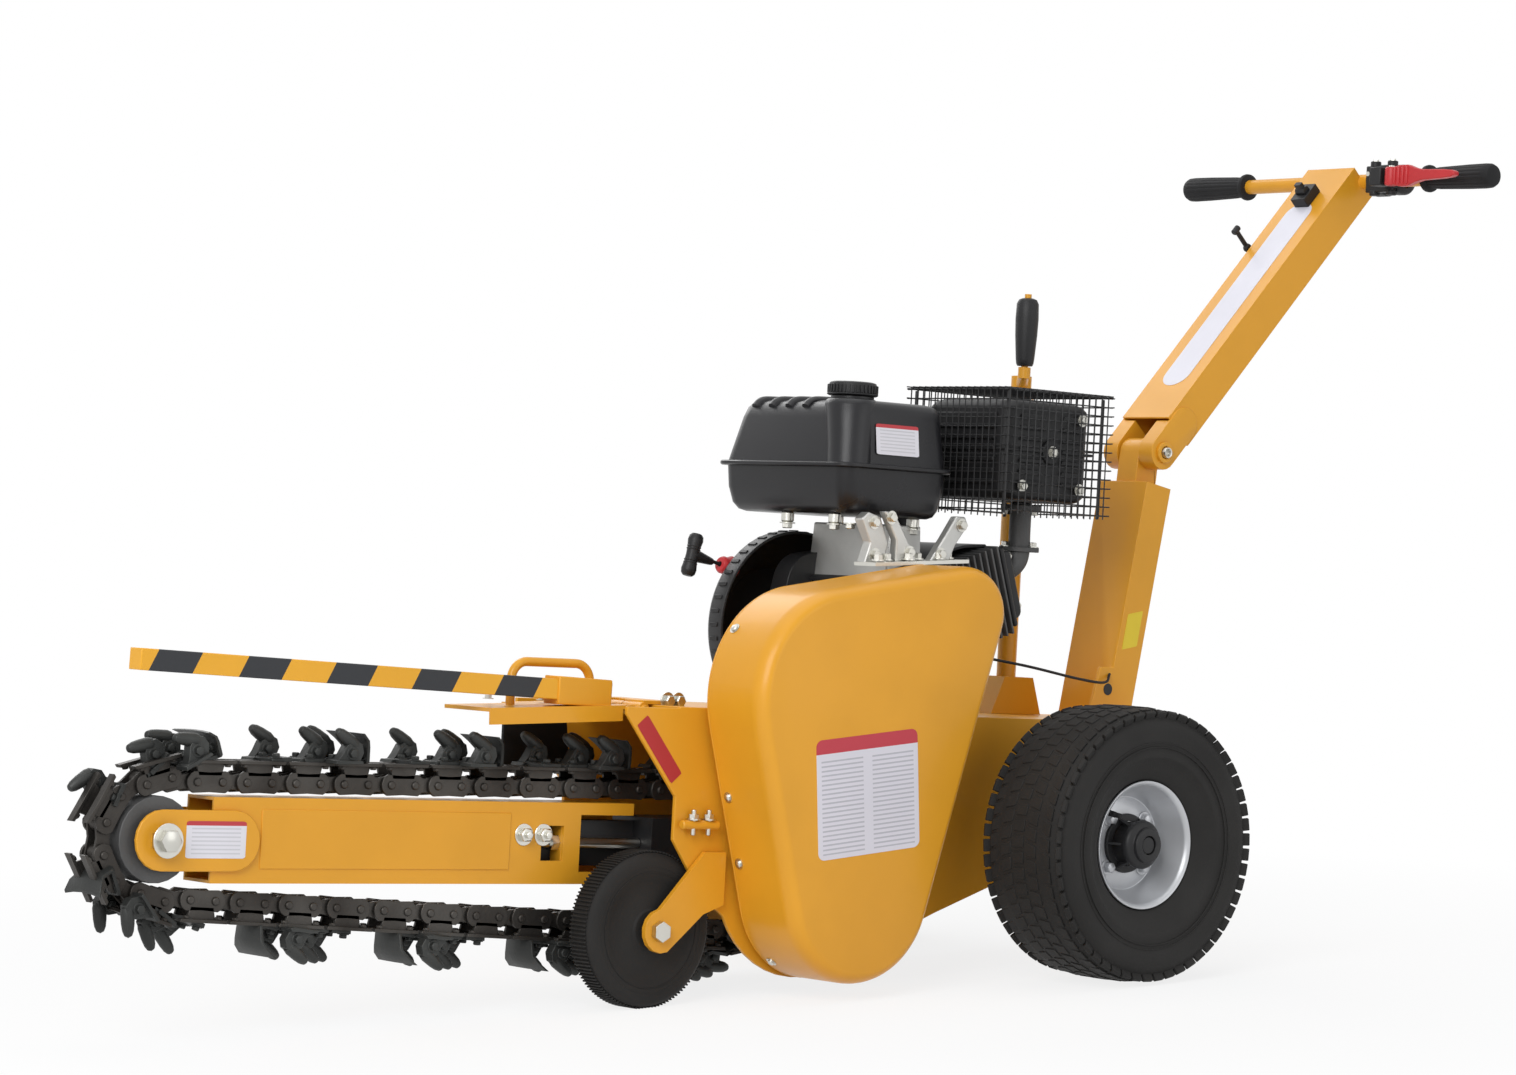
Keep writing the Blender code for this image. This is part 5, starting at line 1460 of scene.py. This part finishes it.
# ---- boom, nose and chain tension
def makeBoomDetails():
    softenNode("boom_beam", "orange", 1.4)
    softenNode("boom_arm", "black", 1.0)
    for node in ("nose_plate_near", "nose_plate_far"):
        softenNode(node, "orange", 1.2)
    softenNode("nose_roller", "iron", 1.0)
    softenNode("nose_bolt", "zinc", 0.8)
    softenNode("tension_rod", "zinc", 0.5)
    bm = bmesh.new()
    addPlate(bm, [(-1228, -62), (-840, -62), (-840, 12), (-1228, 12)], (-31.4, -29.5))
    makePiece("boom_face", bm, "orange", bodyOf["boom_beam"], bevel=0.7)
    bm = bmesh.new()
    for x in (-818, -786):
        addHexBolt(bm, (x, -30, -16), (0, -1, 0), 10, 9)
        addTurned(bm, [(0, 8), (4.6, 8), (4.6, 15), (0, 15.5)], (x, -30, -16), (0, -1, 0), 16)
    addHexBolt(bm, (-1375.5, -47, -27), (0, -1, 0), 15, 10)
    makePiece("boom_bolts", bm, "zinc", bodyOf["boom_beam"], bevel=0.4, segments=1)
    makeSheet("nose_label", ((-1342, -36, -49), (88, 0, 0), (0, 0, 46)), smallLook, bodyOf["nose_plate_near"])


makeBoomDetails()
print("boom ready")


# ---- chassis, mast, crank and small fittings
def makeMast():
    softenNode("mast", "orange", 2.2)
    # a thin flush black disc: painted shade where the gusset's hole would look dark, in place of a cut hole
    bm = bmesh.new()
    addDisc(bm, 8.5, 0, 0.5, (212, -49, 204), (0, -1, 0), 32)
    makePiece("gusset_hole", bm, "black", "chassis")
    makeSheet("mast_label", ((236, -49, 262), (30, 0, 6), (9, 0, 52)), finishes["yellowDecal"], "chassis")


def makeCrank():
    softenNode("crank_arm", "orange", 1.6)
    low, high = levelBox("crank_grip")
    x, y = (low.x + high.x) / 2, (low.y + high.y) / 2
    tall = high.z - low.z
    bm = bmesh.new()
    rows = [
        (0, 0), (11, 0), (12.5, 3), (13.5, 10), (16, tall * 0.45), (16.8, tall * 0.7), (16, tall - 8),
        (13, tall - 2), (8, tall), (0, tall),
    ]
    addTurned(bm, rows, (x, y, low.z), (0, 0, 1), 36)
    makePiece("crank_handle", bm, "plastic", bodyOf["crank_grip"], ("crank_grip",))
    bm = bmesh.new()
    addBar(bm, (123, 50, 618), (123, 90, 618), 3, 14)
    makePiece("crank_pin", bm, "zinc", bodyOf["crank_arm"])


def makeCable():
    bm = bmesh.new()
    route = [(-175, -79, 255), (-150, -92, 250), (0, -92, 234), (120, -82, 218), (190, -64, 214), (214, -49, 226)]
    addTube(bm, smoothRoute(route, 6), 2, 8)
    makePiece("thin_cable", bm, "rubber", "chassis")


def makeSideFittings():
    bm = bmesh.new()
    addBar(bm, (-636, -131, 6), (-574, -131, 6), 6, 18)
    makePiece("adjuster_bar", bm, "orange", "chassis")
    bm = bmesh.new()
    for x in (-616, -590):
        addDisc(bm, 9, 0, 2.4, (x, -131, 12), (0, 0, 1), 20)
        addDisc(bm, 7, 2, 8, (x, -131, 12), (0, 0, 1), 6)
        addBar(bm, (x, -131, -8), (x, -131, 26), 3.6, 14)
    for x, z in ((-622, 166), (-604, 166)):
        addHexBolt(bm, (x, -70, z), (0, -1, 0), 8, 8)
    makePiece("adjuster_bolts", bm, "zinc", "chassis", bevel=0.3, segments=1)


plainNodes = (
    (
        "orange",
        1.4,
        ("frame", "front_wheel_arm", "guard_bracket", "screw_column", "cover_back_plate", "handle_beam"),
    ),
    (
        "zinc",
        0.8,
        (
            "bell_crank", "link_rod", "tension_arm", "lift_nut", "front_wheel_bolt", "headshaft", "jackshaft",
            "rear_axle",
        ),
    ),
    ("iron", 0.8, ("driven_pulley", "engine_pulley", "drive_sprocket")),
    ("cast", 1.2, ("headshaft_bearing_near", "headshaft_bearing_far", "jackshaft_bearing")),
    ("rubber", 0.6, ("drive_belt", "rubber_flap")),
    ("plastic", 0.8, ("idler_pulley",)),
    ("chain", 0.5, ("roller_chain",)),
)
for look, bevel, nodes in plainNodes:
    for node in nodes:
        softenNode(node, look, bevel)
makeMast()
makeCrank()
makeCable()
makeSideFittings()
makeSheet("gusset_plate", ((-712, -122, 134), (62, 0, -75), (17, 0, 14)), finishes["redDecal"], "chassis")
print("chassis and mast ready")


for name, obj in frame["nodes"].items():
    obj.data.materials.clear()
    obj.data.materials.append(finishes["black"])

makeStage()
makeWorld()
makeCamera()
bpy.context.scene.view_settings.view_transform = "Standard"
print("stage, light and camera ready")
